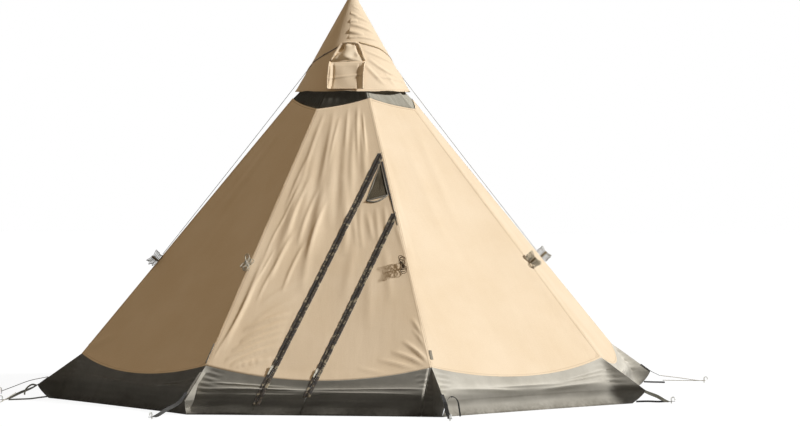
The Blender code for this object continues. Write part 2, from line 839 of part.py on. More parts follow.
def cap_run():
    """How far a step off the cap's side reaches when it is measured level."""
    side = (CAP_HEM_RADIUS - CAP_SHOULDER_RADIUS) / CAP_RISE
    return math.hypot(1, side)


def cap_inset():
    return CLOTH * cap_run()


def cap_roof():
    """The height of the cap's inside under its point."""
    return TENT_HEIGHT - CLOTH * math.sqrt(2)


def under_cap(radius):
    """The greatest height at a radius that stays a gap below the cap's point."""
    drop = cap_roof() - (CAP_SHOULDER_HEIGHT - CLOTH)
    flat = (CAP_SHOULDER_RADIUS - cap_inset()) * math.cos(math.pi / CAP_SEGMENTS)
    return cap_roof() - drop * radius / flat - 1.5 * GAP


def arch_rows():
    """Half widths and heights of the arch, from its sill to its crown."""
    rows = []
    for i in range(HATCH_ROWS + 1):
        share = HATCH_CROWN_SHARE * math.sin(math.pi / 2 * i / HATCH_ROWS)
        rows.append((HATCH_HALF_WIDTH * math.sqrt(1 - share ** 2),
                     HATCH_SILL_HEIGHT + (HATCH_TOP_HEIGHT - HATCH_SILL_HEIGHT) * share))
    return rows


def arch_cutter():
    right = [(w, z) for w, z in arch_rows()]
    outline = right + [(-w, z) for w, z in reversed(right)]
    rings = [[Vector((x, -y, z)) for x, z in outline] for y in (CAP_HEM_RADIUS, CAP_SHOULDER_RADIUS)]
    return loft("arch_cutter", rings, canvas())


def hatch_gather():
    """Crumpled cloth that fills the arch, proud in the middle and level at its rim."""
    rows = arch_rows()
    grid = []
    for i, (half, up) in enumerate(rows):
        line = []
        v = i / HATCH_ROWS
        level = min(max(up, HATCH_SILL_HEIGHT + 3 * GAP), rows[-1][1] - 3 * GAP)
        for j in range(HATCH_COLUMNS + 1):
            u = -1 + 2 * j / HATCH_COLUMNS
            x = u * (half - 4 * GAP)
            rim = (1 - u ** 4) * math.sin(math.pi * v) if 0 < v < 1 else 0.0
            folds = math.sin(7 * u + 5 * v) + 0.7 * math.sin(11 * v - 4 * u)
            out = math.sqrt(cap_radius(level) ** 2 - x ** 2)
            out += rim * (HATCH_BULGE + HATCH_FOLD_DEPTH * folds)
            line.append((x, out, level))
        grid.append(line)
    points, faces = [], []
    for depth in (0.0, CLOTH):
        points += [Vector((x, depth - out, z)) for line in grid for x, out, z in line]
    wide, tall = HATCH_COLUMNS + 1, HATCH_ROWS + 1
    back = wide * tall
    for i in range(HATCH_ROWS):
        for j in range(HATCH_COLUMNS):
            a = i * wide + j
            faces.append((a, a + 1, a + wide + 1, a + wide))
            faces.append((back + a, back + a + wide, back + a + wide + 1, back + a + 1))
    for j in range(HATCH_COLUMNS):
        top = HATCH_ROWS * wide + j
        faces.append((j, back + j, back + j + 1, j + 1))
        faces.append((top, top + 1, back + top + 1, back + top))
    for i in range(HATCH_ROWS):
        a, b = i * wide, i * wide + HATCH_COLUMNS
        faces.append((a, a + wide, back + a + wide, back + a))
        faces.append((b, back + b, back + b + wide, b + wide))
    return add_mesh("hatch_gather", points, faces, canvas(), smooth=True)


def cover_point(across, up, depth):
    """A point on the flat cover, which stands just off the front of the cap."""
    return Vector((across, -(cap_radius(up) + (GAP + depth) * cap_run()), up))


def hatch_cover():
    rings = []
    for depth in (0.0, CLOTH):
        rings.append([cover_point(a, up, depth)
                      for a, up in ((-COVER_HALF_WIDTH, COVER_BOTTOM_HEIGHT),
                                    (COVER_HALF_WIDTH, COVER_BOTTOM_HEIGHT),
                                    (COVER_HALF_WIDTH, COVER_TOP_HEIGHT),
                                    (-COVER_HALF_WIDTH, COVER_TOP_HEIGHT))])
    return loft("hatch_cover", rings, canvas())


# Pole


def pole_parts():
    inner = POLE_RADIUS - POLE_WALL
    lower = inner - GAP
    lower_top = UPPER_BOTTOM_HEIGHT + POLE_OVERLAP
    solid_revolve("pole_lower", [(0, lower_top), (lower, lower_top), (lower, FOOT_FLOOR + GAP),
                                 (0, FOOT_FLOOR + GAP)], alloy())
    revolve("pole_upper", [(POLE_RADIUS, UPPER_TOP_HEIGHT, 0), (POLE_RADIUS, UPPER_BOTTOM_HEIGHT, 0),
                           (inner, UPPER_BOTTOM_HEIGHT, 0), (inner, UPPER_TOP_HEIGHT, 0)], alloy())
    socket = lower + GAP
    solid_revolve("pole_foot", [(0, FOOT_FLOOR), (socket, FOOT_FLOOR), (socket, FOOT_HEIGHT),
                                (FOOT_NECK_RADIUS, FOOT_HEIGHT), (FOOT_NECK_RADIUS, FOOT_RIM * 2),
                                (FOOT_RADIUS, FOOT_RIM), (FOOT_RADIUS, 0), (0, 0)], rubber())
    top = UPPER_BOTTOM_HEIGHT + COLLAR_LIP
    bottom = top - COLLAR_HEIGHT
    ledge = UPPER_BOTTOM_HEIGHT - GAP
    revolve("pole_lock_collar", [
        (COLLAR_RADIUS, top, 1), (COLLAR_RADIUS, bottom, 1), (lower + GAP, bottom, 0),
        (lower + GAP, ledge, 0), (POLE_RADIUS + GAP, ledge, 0), (POLE_RADIUS + GAP, top, 0),
    ], rubber(), 2 * ROUND_SEGMENTS, COLLAR_GRIP_DEPTH)


def pole_tip():
    """A plug in the tube, a flange for the netting and a round head under the cap."""
    flange_low = NET_TOP_HEIGHT - TIP_FLANGE_THICKNESS
    flange_high = NET_TOP_HEIGHT
    flat = TIP_HEAD_RADIUS / 3
    crown, brim = under_cap(flat), under_cap(TIP_HEAD_RADIUS)
    spigot = POLE_RADIUS - POLE_WALL - GAP
    solid_revolve("pole_tip", [
        (0, crown), (flat, crown), (TIP_HEAD_RADIUS, brim),
        (TIP_HEAD_RADIUS, crown - TIP_HEAD_HEIGHT),
        (TIP_SHAFT_RADIUS, crown - TIP_HEAD_HEIGHT - TIP_HEAD_RADIUS),
        (TIP_SHAFT_RADIUS, flange_high), (TIP_FLANGE_RADIUS, flange_high),
        (TIP_FLANGE_RADIUS, flange_low), (POLE_RADIUS, flange_low),
        (POLE_RADIUS, UPPER_TOP_HEIGHT + GAP), (spigot, UPPER_TOP_HEIGHT + GAP),
        (spigot, UPPER_TOP_HEIGHT - TIP_SPIGOT), (0, UPPER_TOP_HEIGHT - TIP_SPIGOT),
    ], alloy())


# Straps and pegs


def peg_place(ridge):
    radius, turn = PEG_PLACES[ridge]
    return ridge_point(ridge, radius, 0.0, math.radians(turn))


def ribbon(name, path, side, finish):
    """Webbing along a path, its width along the side direction."""
    stations = []
    for i, place in enumerate(path):
        ahead = path[min(i + 1, len(path) - 1)] - path[max(i - 1, 0)]
        upward = ahead.normalized().cross(side).normalized()
        if upward.z < 0:
            upward = -upward
        half = side * STRAP_WIDTH / 2
        rise = upward * STRAP_THICKNESS
        stations.append([place - half, place + half, place + half + rise, place - half + rise])
    return loft(name, stations, finish)


def peg_strap(ridge):
    """Webbing sewn along the skirt's ridge, then down to the peg and past it."""
    angle = (ridge - 0.5) * SECTOR
    outward = Vector((math.sin(angle), -math.cos(angle), 0))
    seam = ridge_point(ridge, wall_radius(SKIRT_RIDGE_HEIGHT), SKIRT_RIDGE_HEIGHT)
    corner = ridge_point(ridge, CREASE_RIDGE_RADIUS, CREASE_HEIGHT)
    down = (corner - seam).normalized()
    side = down.cross(UP).normalized()
    lift = side.cross(down).normalized()
    if lift.z < 0:
        lift = -lift
    seat = lift * GAP * 2
    peg = peg_place(ridge) + UP * PEG_STRAP_HEIGHT
    run = peg - corner
    run.z = 0
    past = peg + run.normalized() * STRAP_END
    bend = corner + seat + outward * STRAP_THICKNESS * 3 - UP * STRAP_THICKNESS
    sewn = [corner - down * STRAP_SEWN_LENGTH + seat, corner + seat, bend]
    if ridge == CORD_STRAP_RIDGE:
        tip = ridge_point(ridge, CORD_STRAP_RADIUS, CORD_STRAP_HEIGHT)
        return ribbon(f"strap_{RIDGE_NAMES[ridge]}", [*sewn, tip], side, webbing())
    path = [*sewn, bend.lerp(peg, 0.5), peg - run.normalized() * STRAP_END, past]
    strap = ribbon(f"strap_{RIDGE_NAMES[ridge]}", path, side, webbing())
    cut(strap, peg_hole(ridge))
    return strap


def peg_hole(ridge):
    low = peg_place(ridge) - UP * PEG_STRAP_HEIGHT
    points, faces = [], []
    count = ROUND_SEGMENTS // 2
    radius = (PEG_RADIUS + PEG_HOLE_CLEARANCE) / math.cos(math.pi / count)
    for z in (low.z, low.z + 4 * PEG_STRAP_HEIGHT):
        for i in range(count):
            angle = 2 * math.pi * i / count
            points.append(Vector((low.x + radius * math.cos(angle),
                                  low.y + radius * math.sin(angle), z)))
    for i in range(count):
        k = (i + 1) % count
        faces.append((i, k, count + k, count + i))
    faces += [tuple(range(count)), tuple(range(count, 2 * count))]
    return add_mesh(f"peg_hole_{ridge}", points, faces, webbing())


def hook_peg(name, place, outward):
    """A steel rod that stands in the ground and turns over outwards into a hook."""
    neck = PEG_NECK_HEIGHT
    points = [place, place + UP * neck]
    for i in range(1, PEG_ARC_STEPS + 1):
        angle = math.pi * i / PEG_ARC_STEPS
        points.append(place + UP * (neck + PEG_HOOK_RADIUS * math.sin(angle))
                      + outward * PEG_HOOK_RADIUS * (1 - math.cos(angle)))
    points.append(points[-1] - UP * PEG_TAIL)
    return tube(name, points, 2 * PEG_RADIUS, peg_steel())


def peg(ridge):
    place = peg_place(ridge)
    return hook_peg(f"peg_{RIDGE_NAMES[ridge]}", place, place.normalized())


# Cords


def hank_frame(ridge):
    """Centre, down, across and outward directions of a ridge's hank. The front right one
    lies on the door flap, left of the ridge."""
    top = ridge_point(ridge, wall_radius(HANK_HEIGHT), HANK_HEIGHT)
    floor = ridge_point(ridge, RIDGE_FLOOR_RADIUS, 0.0)
    down = (floor - top).normalized()
    across = down.cross(UP).normalized()
    outward = across.cross(down).normalized()
    if outward.z < 0:
        outward = -outward
    if ridge == 1:
        out = wall_out(HANK_HEIGHT)
        outward = Vector((0, -1, RIDGE_SLOPE * COS_HALF)).normalized()
        across = outward.cross(down).normalized()
        if across.x > 0:
            across = -across
        top = face_point(0, mitre(out), out, HANK_HEIGHT)
        top += across * (HANK_HALF_WIDTH + HANK_CORD)
    return top + outward * (HANK_CORD / 2 + GAP), down, across, outward


def hank(ridge):
    """Guy cord wound in loops, drawn in at the waist, from its outer loop inwards."""
    centre, down, across, _ = hank_frame(ridge)
    points = []
    for i in range(HANK_LOOPS * HANK_LOOP_POINTS + 1):
        turn = i / HANK_LOOP_POINTS
        angle = 2 * math.pi * turn
        length = HANK_HALF_LENGTH - HANK_PITCH * turn
        width = HANK_HALF_WIDTH - HANK_PITCH * turn
        waist = 1 - HANK_WAIST_SHARE * math.sin(angle) ** 4
        points.append(centre + down * length * math.cos(angle)
                      + across * width * waist * math.sin(angle))
    return tube(f"hank_{RIDGE_NAMES[ridge]}", points, HANK_CORD, cord_yarn(), 1), points


def least_gap(points, diameter, skip):
    """The least gap of a tube to itself, between points that lie apart along it."""
    least = min((points[i] - points[j]).length
                for i in range(len(points)) for j in range(i + skip, len(points)))
    return least - diameter


def cap_cord(name, ridge):
    """A taut cord from the cap's edge seam to the hank below it."""
    start_up = CAP_HEM_HEIGHT + CAP_RISE * CAP_CORD_SHARE
    seat = cap_radius(start_up) * math.cos(math.pi / CAP_SEGMENTS)
    start = ridge_point(ridge, seat + (CAP_CORD / 2 + GAP) * cap_run(), start_up)
    centre, down, _, outward = hank_frame(ridge)
    end = centre - down * (HANK_HALF_LENGTH + HANK_CORD) + outward * CAP_CORD
    middle = start.lerp(end, 0.5) - outward * CAP_CORD
    return tube(name, smooth_route([start, middle, end], CORD_POINTS), CAP_CORD, cord_yarn())


# Routes of the ground cords, each from where it leaves the tent to the ground
GUY_HIGH_ROUTE = [(-1.7205, -0.7127, 0.1256), (-1.8570, -0.6070, 0.0930),
                  (-1.9750, -0.5120, 0.0500), (-2.0640, -0.4430, 0.0170)]
GUY_LOW_ROUTE = [(-1.8800, -0.8600, 0.0420), (-1.8950, -0.9700, 0.0250), (-1.9180, -1.1075, 0.0040)]
GUY_RIGHT_ROUTE = [(1.8377, 0.7511, 0.0515), (1.9650, 0.8040, 0.0330), (2.0750, 0.8500, 0.0150),
                   (2.1002, 0.8620, 0.0130), (2.1104, 0.8668, 0.0130), (2.1137, 0.8750, 0.0130),
                   (2.1036, 0.8798, 0.0130), (2.0900, 0.8750, 0.0130), (1.9900, 0.8380, 0.0150),
                   (1.8500, 0.7850, 0.0200)]


def guy_cords():
    tube("guy_cord_high", smooth_route(GUY_HIGH_ROUTE, GUY_POINTS), GUY_CORD, cord_yarn())
    tube("guy_cord_low", smooth_route(GUY_LOW_ROUTE, GUY_POINTS), GUY_CORD, cord_yarn())
    tube("guy_cord_right", smooth_route(GUY_RIGHT_ROUTE, GUY_POINTS), GUY_CORD, cord_yarn())


def guy_peg():
    """The peg just past the end of the high guy cord, in line with it."""
    before, end = (Vector((x, y, 0)) for x, y, _ in GUY_HIGH_ROUTE[-2:])
    along = (end - before).normalized()
    hook_peg("guy_peg", end + along * (PEG_RADIUS + 2 * GAP), along)


def main():
    clear_scene()
    for face in range(1, SIDES):
        wall_panel(face)
    door_panel_left()
    door_band()
    door_flap()
    door_vent_net()
    skirt_left()
    skirt_right()
    skirt_front_band()
    skirt_front_flap()
    zip_tape_half("zip_1_tape_left", zip_1, -1, ZIP_1_END_HEIGHT)
    zip_tape_half("zip_1_tape_right", zip_1, 1, ZIP_1_END_HEIGHT)
    zip_tape_half("zip_2_tape_left", zip_2, -1, ZIP_2_END_HEIGHT)
    zip_tape_half("zip_2_tape_right", zip_2, 1, ZIP_2_END_HEIGHT)
    zip_slider("zip_1_slider", zip_1)
    zip_slider("zip_2_slider", zip_2)
    vent_net()
    cap()
    hatch_gather()
    hatch_cover()
    pole_parts()
    pole_tip()
    for ridge in range(SIDES):
        peg_strap(ridge)
        peg(ridge)
        _, points = hank(ridge)
        if ridge == 0:
            print("least gap between hank loops, mm",
                  round(least_gap(points, HANK_CORD, HANK_LOOP_POINTS // 2) * 1000, 2))
    cap_cord("cap_cord_left", 7)
    cap_cord("cap_cord_right", 3)
    guy_cords()
    guy_peg()


main()
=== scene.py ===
# Eight sided pyramid tent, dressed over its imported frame. Metres, +Z up, the door faces -Y.
# Faces count from the door, 0, anticlockwise seen from above, and ridge n starts face n.
import json
import math
import random

import bmesh
import bpy
import numpy as np
from mathutils import Matrix, Vector

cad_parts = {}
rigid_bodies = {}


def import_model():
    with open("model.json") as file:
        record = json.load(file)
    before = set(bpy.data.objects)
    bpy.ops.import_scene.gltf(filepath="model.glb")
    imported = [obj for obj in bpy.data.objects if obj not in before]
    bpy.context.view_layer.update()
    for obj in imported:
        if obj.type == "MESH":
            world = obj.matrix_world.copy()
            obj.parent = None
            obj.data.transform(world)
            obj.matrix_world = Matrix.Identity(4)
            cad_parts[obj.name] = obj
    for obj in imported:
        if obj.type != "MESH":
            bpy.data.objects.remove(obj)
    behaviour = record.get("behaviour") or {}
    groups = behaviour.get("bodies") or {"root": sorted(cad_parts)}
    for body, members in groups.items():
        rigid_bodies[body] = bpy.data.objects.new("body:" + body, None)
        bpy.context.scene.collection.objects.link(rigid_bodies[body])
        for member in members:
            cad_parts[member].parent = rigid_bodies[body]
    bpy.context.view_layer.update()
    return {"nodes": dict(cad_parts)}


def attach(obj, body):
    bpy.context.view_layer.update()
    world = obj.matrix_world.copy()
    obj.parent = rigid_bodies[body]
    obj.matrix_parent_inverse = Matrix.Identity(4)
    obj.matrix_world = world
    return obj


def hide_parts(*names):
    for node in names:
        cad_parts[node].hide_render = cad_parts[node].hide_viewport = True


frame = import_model()
print("frame loaded:", len(frame["nodes"]), "nodes")


def addObject(name, data):
    obj = bpy.data.objects.new(name, data)
    bpy.context.collection.objects.link(obj)
    return obj


# Camera

cameraFacts = {"azimuth": 7.2, "distance": 19.2, "eyeHeight": 1.56, "lens": 142.8,
               "turnRight": 0.854, "tiltDown": 1.447}


def addCamera(facts):
    turn = math.radians(facts["azimuth"])
    data = bpy.data.cameras.new("camera")
    data.lens = facts["lens"]
    data.clip_end = 100
    camera = addObject("camera", data)
    camera.location = (facts["distance"] * math.sin(turn), -facts["distance"] * math.cos(turn),
                       facts["eyeHeight"])
    camera.rotation_euler = (math.radians(90 - facts["tiltDown"]), 0,
                             turn - math.radians(facts["turnRight"]))
    bpy.context.scene.camera = camera


addCamera(cameraFacts)

# Materials


def hexColor(text):
    channels = [int(text[i:i + 2], 16) / 255 for i in (1, 3, 5)]
    linear = [c / 12.92 if c <= 0.04045 else ((c + 0.055) / 1.055) ** 2.4 for c in channels]
    return (*linear, 1)


def addNode(tree, kind, settings=None, output=0):
    # a value is another node's output, an input's constant, a ramp's stops or a plain setting
    node = tree.nodes.new("ShaderNode" + kind)
    for key, value in (settings or {}).items():
        if hasattr(value, "is_output"):
            tree.links.new(value, node.inputs[key])
        elif key == "stops":
            bar = node.color_ramp.elements
            while len(bar) < len(value):
                bar.new(0.5)
            for element, (place, color) in zip(bar, value):
                element.position = place
                element.color = hexColor(color) if isinstance(color, str) else (color,) * 3 + (1,)
        elif isinstance(key, int) or key in node.inputs:
            node.inputs[key].default_value = value
        else:
            setattr(node, key, value)
    return node.outputs[output]


def newMaterial(name, settings):
    made = bpy.data.materials.new(name)
    made.use_nodes = True
    shader = made.node_tree.nodes["Principled BSDF"]
    for key, value in settings.items():
        shader.inputs[key].default_value = value
    return made, made.node_tree, shader


oneWave = 0.31831    # the wave texture's scale that gives one wave to each unit


def threadWaves(tree, coords, pitch):
    # two crossed waves, one to each thread
    flat = addNode(tree, "Mapping", {"Vector": coords, "Scale": (1 / pitch,) * 3})
    return [addNode(tree, "TexWave", {"Vector": flat, "Scale": oneWave,
                                      "bands_direction": direction}, "Fac")
            for direction in ("X", "Y")]


def weaveHeight(tree, coords, pitch):
    first, second = threadWaves(tree, coords, pitch)
    return addNode(tree, "Math", {"operation": "MULTIPLY", 0: first, 1: second})


# Polyester and cotton canvas, plain woven and dyed in the piece: matt, with soft clouds of
# tone, fine slack wrinkles and a line of stitches to each side of a ridge.
canvasFacts = {"wrinkle": 0.004, "color": "#EFDCC0", "shade": "#E9D4B5", "thread": "#D2BA97",
               "pitch": 0.004,     # threads are 0.5 mm apart, drawn coarse enough to show
               "seam": 0.011, "stitch": 0.0016, "stitchColor": "#8D6F49"}


def canvasCloth(facts, name="canvasCloth", seams=True):
    made, tree, shader = newMaterial(name, {"Roughness": 0.86, "Specular IOR Level": 0.3,
                                            "Sheen Weight": 0.08, "Sheen Roughness": 0.5})
    threads = addNode(tree, "UVMap", {"uv_map": "cloth"})
    place = addNode(tree, "TexCoord", output="Object")
    clouds = addNode(tree, "TexNoise", {"Vector": place, "Scale": 2.6, "Detail": 5,
                                        "Roughness": 0.6})
    color = addNode(tree, "ValToRGB", {"Fac": clouds, "stops": [(0.34, facts["shade"]),
                                                                (0.62, facts["color"])]})
    slub = addNode(tree, "TexNoise", {"Vector": threads, "Scale": 160})
    slub = addNode(tree, "ValToRGB", {"Fac": slub, "stops": [(0.3, facts["thread"]),
                                                             (0.6, facts["color"])]})
    color = addNode(tree, "Mix", {"data_type": "RGBA", 0: 0.16, 6: color, 7: slub}, 2)
    # slack cloth carries fine wrinkles that run down the wall
    down = addNode(tree, "Mapping", {"Vector": threads, "Scale": (12, 2.6, 1),
                                     "Rotation": (0, 0, 0.05)})
    wrinkle = addNode(tree, "TexNoise", {"Vector": down, "Scale": 1, "Detail": 3,
                                         "Roughness": 0.55})
    normal = addNode(tree, "Bump", {"Height": wrinkle, "Strength": 0.5,
                                    "Distance": facts["wrinkle"]})
    normal = addNode(tree, "Bump", {"Height": weaveHeight(tree, threads, facts["pitch"]),
                                    "Strength": 0.25, "Distance": 0.0006, "Normal": normal})
    if seams:
        away = addNode(tree, "Attribute", {"attribute_name": "seam"}, "Fac")
        line = addNode(tree, "Math", {"operation": "SUBTRACT", 0: away, 1: facts["seam"]})
        line = addNode(tree, "Math", {"operation": "ABSOLUTE", 0: line})
        line = addNode(tree, "MapRange", {"Value": line, "From Min": facts["stitch"],
                                          "From Max": facts["stitch"] * 2.2, "To Min": 0.22,
                                          "To Max": 0.0})
        color = addNode(tree, "Mix", {"data_type": "RGBA", 0: line, 6: color,
                                      7: hexColor(facts["stitchColor"])}, 2)
        normal = addNode(tree, "Bump", {"Height": line, "Strength": 0.5, "Distance": 0.0008,
                                        "Normal": normal})
    tree.links.new(color, shader.inputs["Base Color"])
    tree.links.new(normal, shader.inputs["Normal"])
    return made


def bentNormal(tree, stops, reach):
    # a limp cloth hangs in small upright folds, and folds under at its creases: both turn its
    # shading down, by an amount set for each height up to the reach
    facing = addNode(tree, "NewGeometry", output="Normal")
    x, y, z = [addNode(tree, "SeparateXYZ", {"Vector": facing}, axis) for axis in "XYZ"]
    place = addNode(tree, "TexCoord", output="Object")
    wander = 0.030    # metres that the creases stray up and down
    stray = addNode(tree, "TexNoise", {"Vector": place, "Scale": 5})
    height = addNode(tree, "SeparateXYZ", {"Vector": place}, "Z")
    height = addNode(tree, "Math", {"operation": "MULTIPLY_ADD", 0: stray, 1: wander, 2: height})
    height = addNode(tree, "Math", {"operation": "SUBTRACT", 0: height, 1: wander / 2})
    share = addNode(tree, "Math", {"operation": "DIVIDE", 0: height, 1: reach})
    turn = addNode(tree, "ValToRGB", {"Fac": share, "stops": stops})
    z = addNode(tree, "Math", {"operation": "SUBTRACT", 0: z, 1: turn})
    turned = addNode(tree, "CombineXYZ", {"X": x, "Y": y, "Z": z})
    return addNode(tree, "VectorMath", {"operation": "NORMALIZE", 0: turned})


# share of the way up, and how far the normal turns down there
skirtTurn = [(0.0, 1.0), (0.05, 0.78), (0.20, 0.76), (0.30, 0.92), (0.47, 0.96), (0.60, 0.66),
             (1.0, 0.58)]
netTurn = [(0.0, 0.90), (1.0, 0.90)]

# Coated polyester: grey, a little slick, near black where the sun misses it, with dried mud
# splashed up from the hem.
skirtFacts = {"color": "#E0DACC", "shade": "#CEC8BA", "mud": "#6B6252", "pitch": 0.003,
              "mudHeight": 0.05, "turnHeight": 0.2}


def skirtCloth(facts):
    made, tree, shader = newMaterial("coatedPolyester",
                                     {"Roughness": 0.55, "Specular IOR Level": 0.12})
    place = addNode(tree, "TexCoord", output="Object")
    clouds = addNode(tree, "TexNoise", {"Vector": place, "Scale": 6, "Detail": 6,
                                        "Roughness": 0.65})
    color = addNode(tree, "ValToRGB", {"Fac": clouds, "stops": [(0.36, facts["shade"]),
                                                                (0.64, facts["color"])]})
    height = addNode(tree, "SeparateXYZ", {"Vector": place}, "Z")
    low = addNode(tree, "MapRange", {"Value": height, "From Min": 0.0,
                                     "From Max": facts["mudHeight"], "To Min": 1.0, "To Max": 0.0})
    splash = addNode(tree, "TexNoise", {"Vector": place, "Scale": 45, "Detail": 4})
    mud = addNode(tree, "Math", {"operation": "MULTIPLY", 0: low, 1: splash})
    color = addNode(tree, "Mix", {"data_type": "RGBA", 0: mud, 6: color,
                                  7: hexColor(facts["mud"])}, 2)
    tree.links.new(color, shader.inputs["Base Color"])
    threads = addNode(tree, "UVMap", {"uv_map": "cloth"})
    normal = addNode(tree, "Bump", {"Height": weaveHeight(tree, threads, facts["pitch"]),
                                    "Strength": 0.2, "Distance": 0.0004,
                                    "Normal": bentNormal(tree, skirtTurn, facts["turnHeight"])})
    tree.links.new(normal, shader.inputs["Normal"])
    return made


# Polyester mosquito netting: fine threads with dark holes between them. The real mesh is
# 1.2 mm, drawn coarser to show.
netFacts = {"turned": True, "thread": "#E6E1D2", "hole": "#BDB5A0", "pitch": 0.006}
windowNetFacts = {"turned": False, "thread": "#8C806A", "hole": "#2C2419", "pitch": 0.006}


def nettingCloth(facts, name="mosquitoNetting"):
    made, tree, shader = newMaterial(name, {"Roughness": 0.8, "Specular IOR Level": 0.1})
    threads = addNode(tree, "UVMap", {"uv_map": "cloth"})
    first, second = threadWaves(tree, threads, facts["pitch"])
    grid = addNode(tree, "Math", {"operation": "MAXIMUM", 0: first, 1: second})
    color = addNode(tree, "ValToRGB", {"Fac": grid, "stops": [(0.55, facts["hole"]),
                                                              (0.85, facts["thread"])]})
    # slanting darker streaks are painted shadow, as the cap's shade falls in bands across the
    # creased netting
    slant = addNode(tree, "Mapping", {"Vector": threads, "Scale": (14, 3, 1),
                                      "Rotation": (0, 0, 0.9)})
    paintedShadowStreak = addNode(tree, "TexNoise", {"Vector": slant, "Scale": 2.2, "Detail": 3})
    paintedShadowStreak = addNode(tree, "ValToRGB", {"Fac": paintedShadowStreak, "stops": [(0.50, 0.0), (0.66, 0.55)]})
    color = addNode(tree, "Mix", {"data_type": "RGBA", 0: paintedShadowStreak, 6: color,
                                  7: hexColor(facts["hole"])}, 2)
    tree.links.new(color, shader.inputs["Base Color"])
    relief = {"Height": grid, "Strength": 0.4, "Distance": 0.0004}
    if facts["turned"]:
        relief["Normal"] = bentNormal(tree, netTurn, 3.0)
    tree.links.new(addNode(tree, "Bump", relief), shader.inputs["Normal"])
    return made


# Nylon zip tape with coil teeth: a ribbed dark band, with pale flecks that are painted highlights
# where its puckers catch the light.
zipFacts = {"tape": "#3B2E1E", "dark": "#1B140B", "paintedGlint": "#B9AA8C", "tooth": "#40352A",
            "pitch": 0.0024}


def zipTape(facts):
    made, tree, shader = newMaterial("nylonZipTape", {"Roughness": 0.65, "Sheen Weight": 0.15})
    place = addNode(tree, "TexCoord", output="Object")
    clouds = addNode(tree, "TexNoise", {"Vector": place, "Scale": 55, "Detail": 3})
    color = addNode(tree, "ValToRGB", {"Fac": clouds, "stops": [(0.4, facts["dark"]),
                                                                (0.6, facts["tape"])]})
    # the pale flecks are painted highlights, from the puckered tape catching the light
    paintedGlint = addNode(tree, "TexNoise", {"Vector": place, "Scale": 30, "Detail": 5,
                                       "Roughness": 0.75})
    paintedGlint = addNode(tree, "ValToRGB", {"Fac": paintedGlint, "stops": [(0.53, 0.0), (0.60, 0.85)]})
    color = addNode(tree, "Mix", {"data_type": "RGBA", 0: paintedGlint, 6: color,
                                  7: hexColor(facts["paintedGlint"])}, 2)
    tree.links.new(color, shader.inputs["Base Color"])
    threads = addNode(tree, "UVMap", {"uv_map": "cloth"})
    normal = addNode(tree, "Bump", {"Height": weaveHeight(tree, threads, facts["pitch"]),
                                    "Strength": 0.4, "Distance": 0.0006})
    tree.links.new(normal, shader.inputs["Normal"])
    return made


def twoTone(tree, shader, pattern, tones, strength, depth):
    # a pattern drives both the colour and the relief
    color = addNode(tree, "ValToRGB", {"Fac": pattern, "stops": tones})
    normal = addNode(tree, "Bump", {"Height": pattern, "Strength": strength, "Distance": depth})
    tree.links.new(color, shader.inputs["Base Color"])
    tree.links.new(normal, shader.inputs["Normal"])


def plainFinish(name, color, dark, scale, settings, depth=0.0004):
    # a moulded, drawn or spun surface with slight changes of tone and a fine grain
    made, tree, shader = newMaterial(name, settings)
    place = addNode(tree, "TexCoord", output="Object")
    grain = addNode(tree, "TexNoise", {"Vector": place, "Scale": scale, "Detail": 4})
    twoTone(tree, shader, grain, [(0.35, dark), (0.65, color)], 0.25, depth)
    return made


# Polypropylene webbing, woven with a ribbed face
webPitch = 0.002


def webbing(name, color, dark):
    made, tree, shader = newMaterial(name, {"Roughness": 0.6, "Sheen Weight": 0.1})
    ribs = weaveHeight(tree, addNode(tree, "UVMap", {"uv_map": "cloth"}), webPitch)
    twoTone(tree, shader, ribs, [(0.1, dark), (0.6, color)], 0.6, 0.0006)
    return made


# Braided polyester cord: slanting yarns round the cord
def braidedCord(name, color, dark):
    made, tree, shader = newMaterial(name, {"Roughness": 0.75, "Sheen Weight": 0.2})
    place = addNode(tree, "TexCoord", output="Object")
    yarns = addNode(tree, "TexWave", {"Vector": place, "Scale": 160, "Distortion": 1.5,
                                      "bands_direction": "DIAGONAL"}, "Fac")
    twoTone(tree, shader, yarns, [(0.3, dark), (0.7, color)], 0.6, 0.0006)
    return made


canvas = canvasCloth(canvasFacts)
capCanvas = canvasCloth(canvasFacts, "capCanvas", seams=False)
skirtFabric = skirtCloth(skirtFacts)
netting = nettingCloth(netFacts)
windowMesh = nettingCloth(windowNetFacts, "windowNetting")
tape = zipTape(zipFacts)
# painted shade: a dark tape that stands for the shadowed gap between the window and the ridge
shadowGapTape = webbing("tapePaintedAsShadowGap", "#3A2F22", "#1C160E")
# injection moulded acetal coil, slightly shiny
teeth = plainFinish("acetalTeeth", zipFacts["tooth"], "#3B3023", 90, {"Roughness": 0.35})
darkWebbing = webbing("blackWebbing", "#1D1B16", "#12110C")
oliveWebbing = webbing("oliveWebbing", "#5E5A42", "#302D1F")
greyWebbing = webbing("greyWebbing", "#A39A86", "#7D7463")
paleWebbing = webbing("paleWebbing", "#B9B2A4", "#857E70")
tanWebbing = webbing("tanWebbing", "#9C8966", "#6F5E41")
oliveCord = braidedCord("oliveCord", "#8A7C55", "#3F3820")
brownCord = braidedCord("brownCord", "#8E7350", "#4C3A22")
blackCord = braidedCord("blackGreenCord", "#55583A", "#1D1F12")
paleCord = braidedCord("paleCord", "#D8D0BC", "#8F8672")
greyCord = braidedCord("greyCord", "#A3A29C", "#6A6964")
steel = plainFinish("zincPlatedSteel", "#DADAD6", "#B4B3AE", 60,
                    {"Metallic": 1.0, "Roughness": 0.35}, 0.0002)
alloy = plainFinish("anodisedAluminium", "#C9CBCE", "#B4B6B9", 30,
                    {"Metallic": 1.0, "Roughness": 0.33}, 0.0001)
rubber = plainFinish("mouldedRubber", "#26241F", "#171512", 120, {"Roughness": 0.7}, 0.0003)
zinc = plainFinish("castZincSlider", "#D8D3C6", "#A69F8E", 80,
                   {"Metallic": 1.0, "Roughness": 0.45}, 0.0002)
print("materials made")

# The canopy's planes, as in the part's source

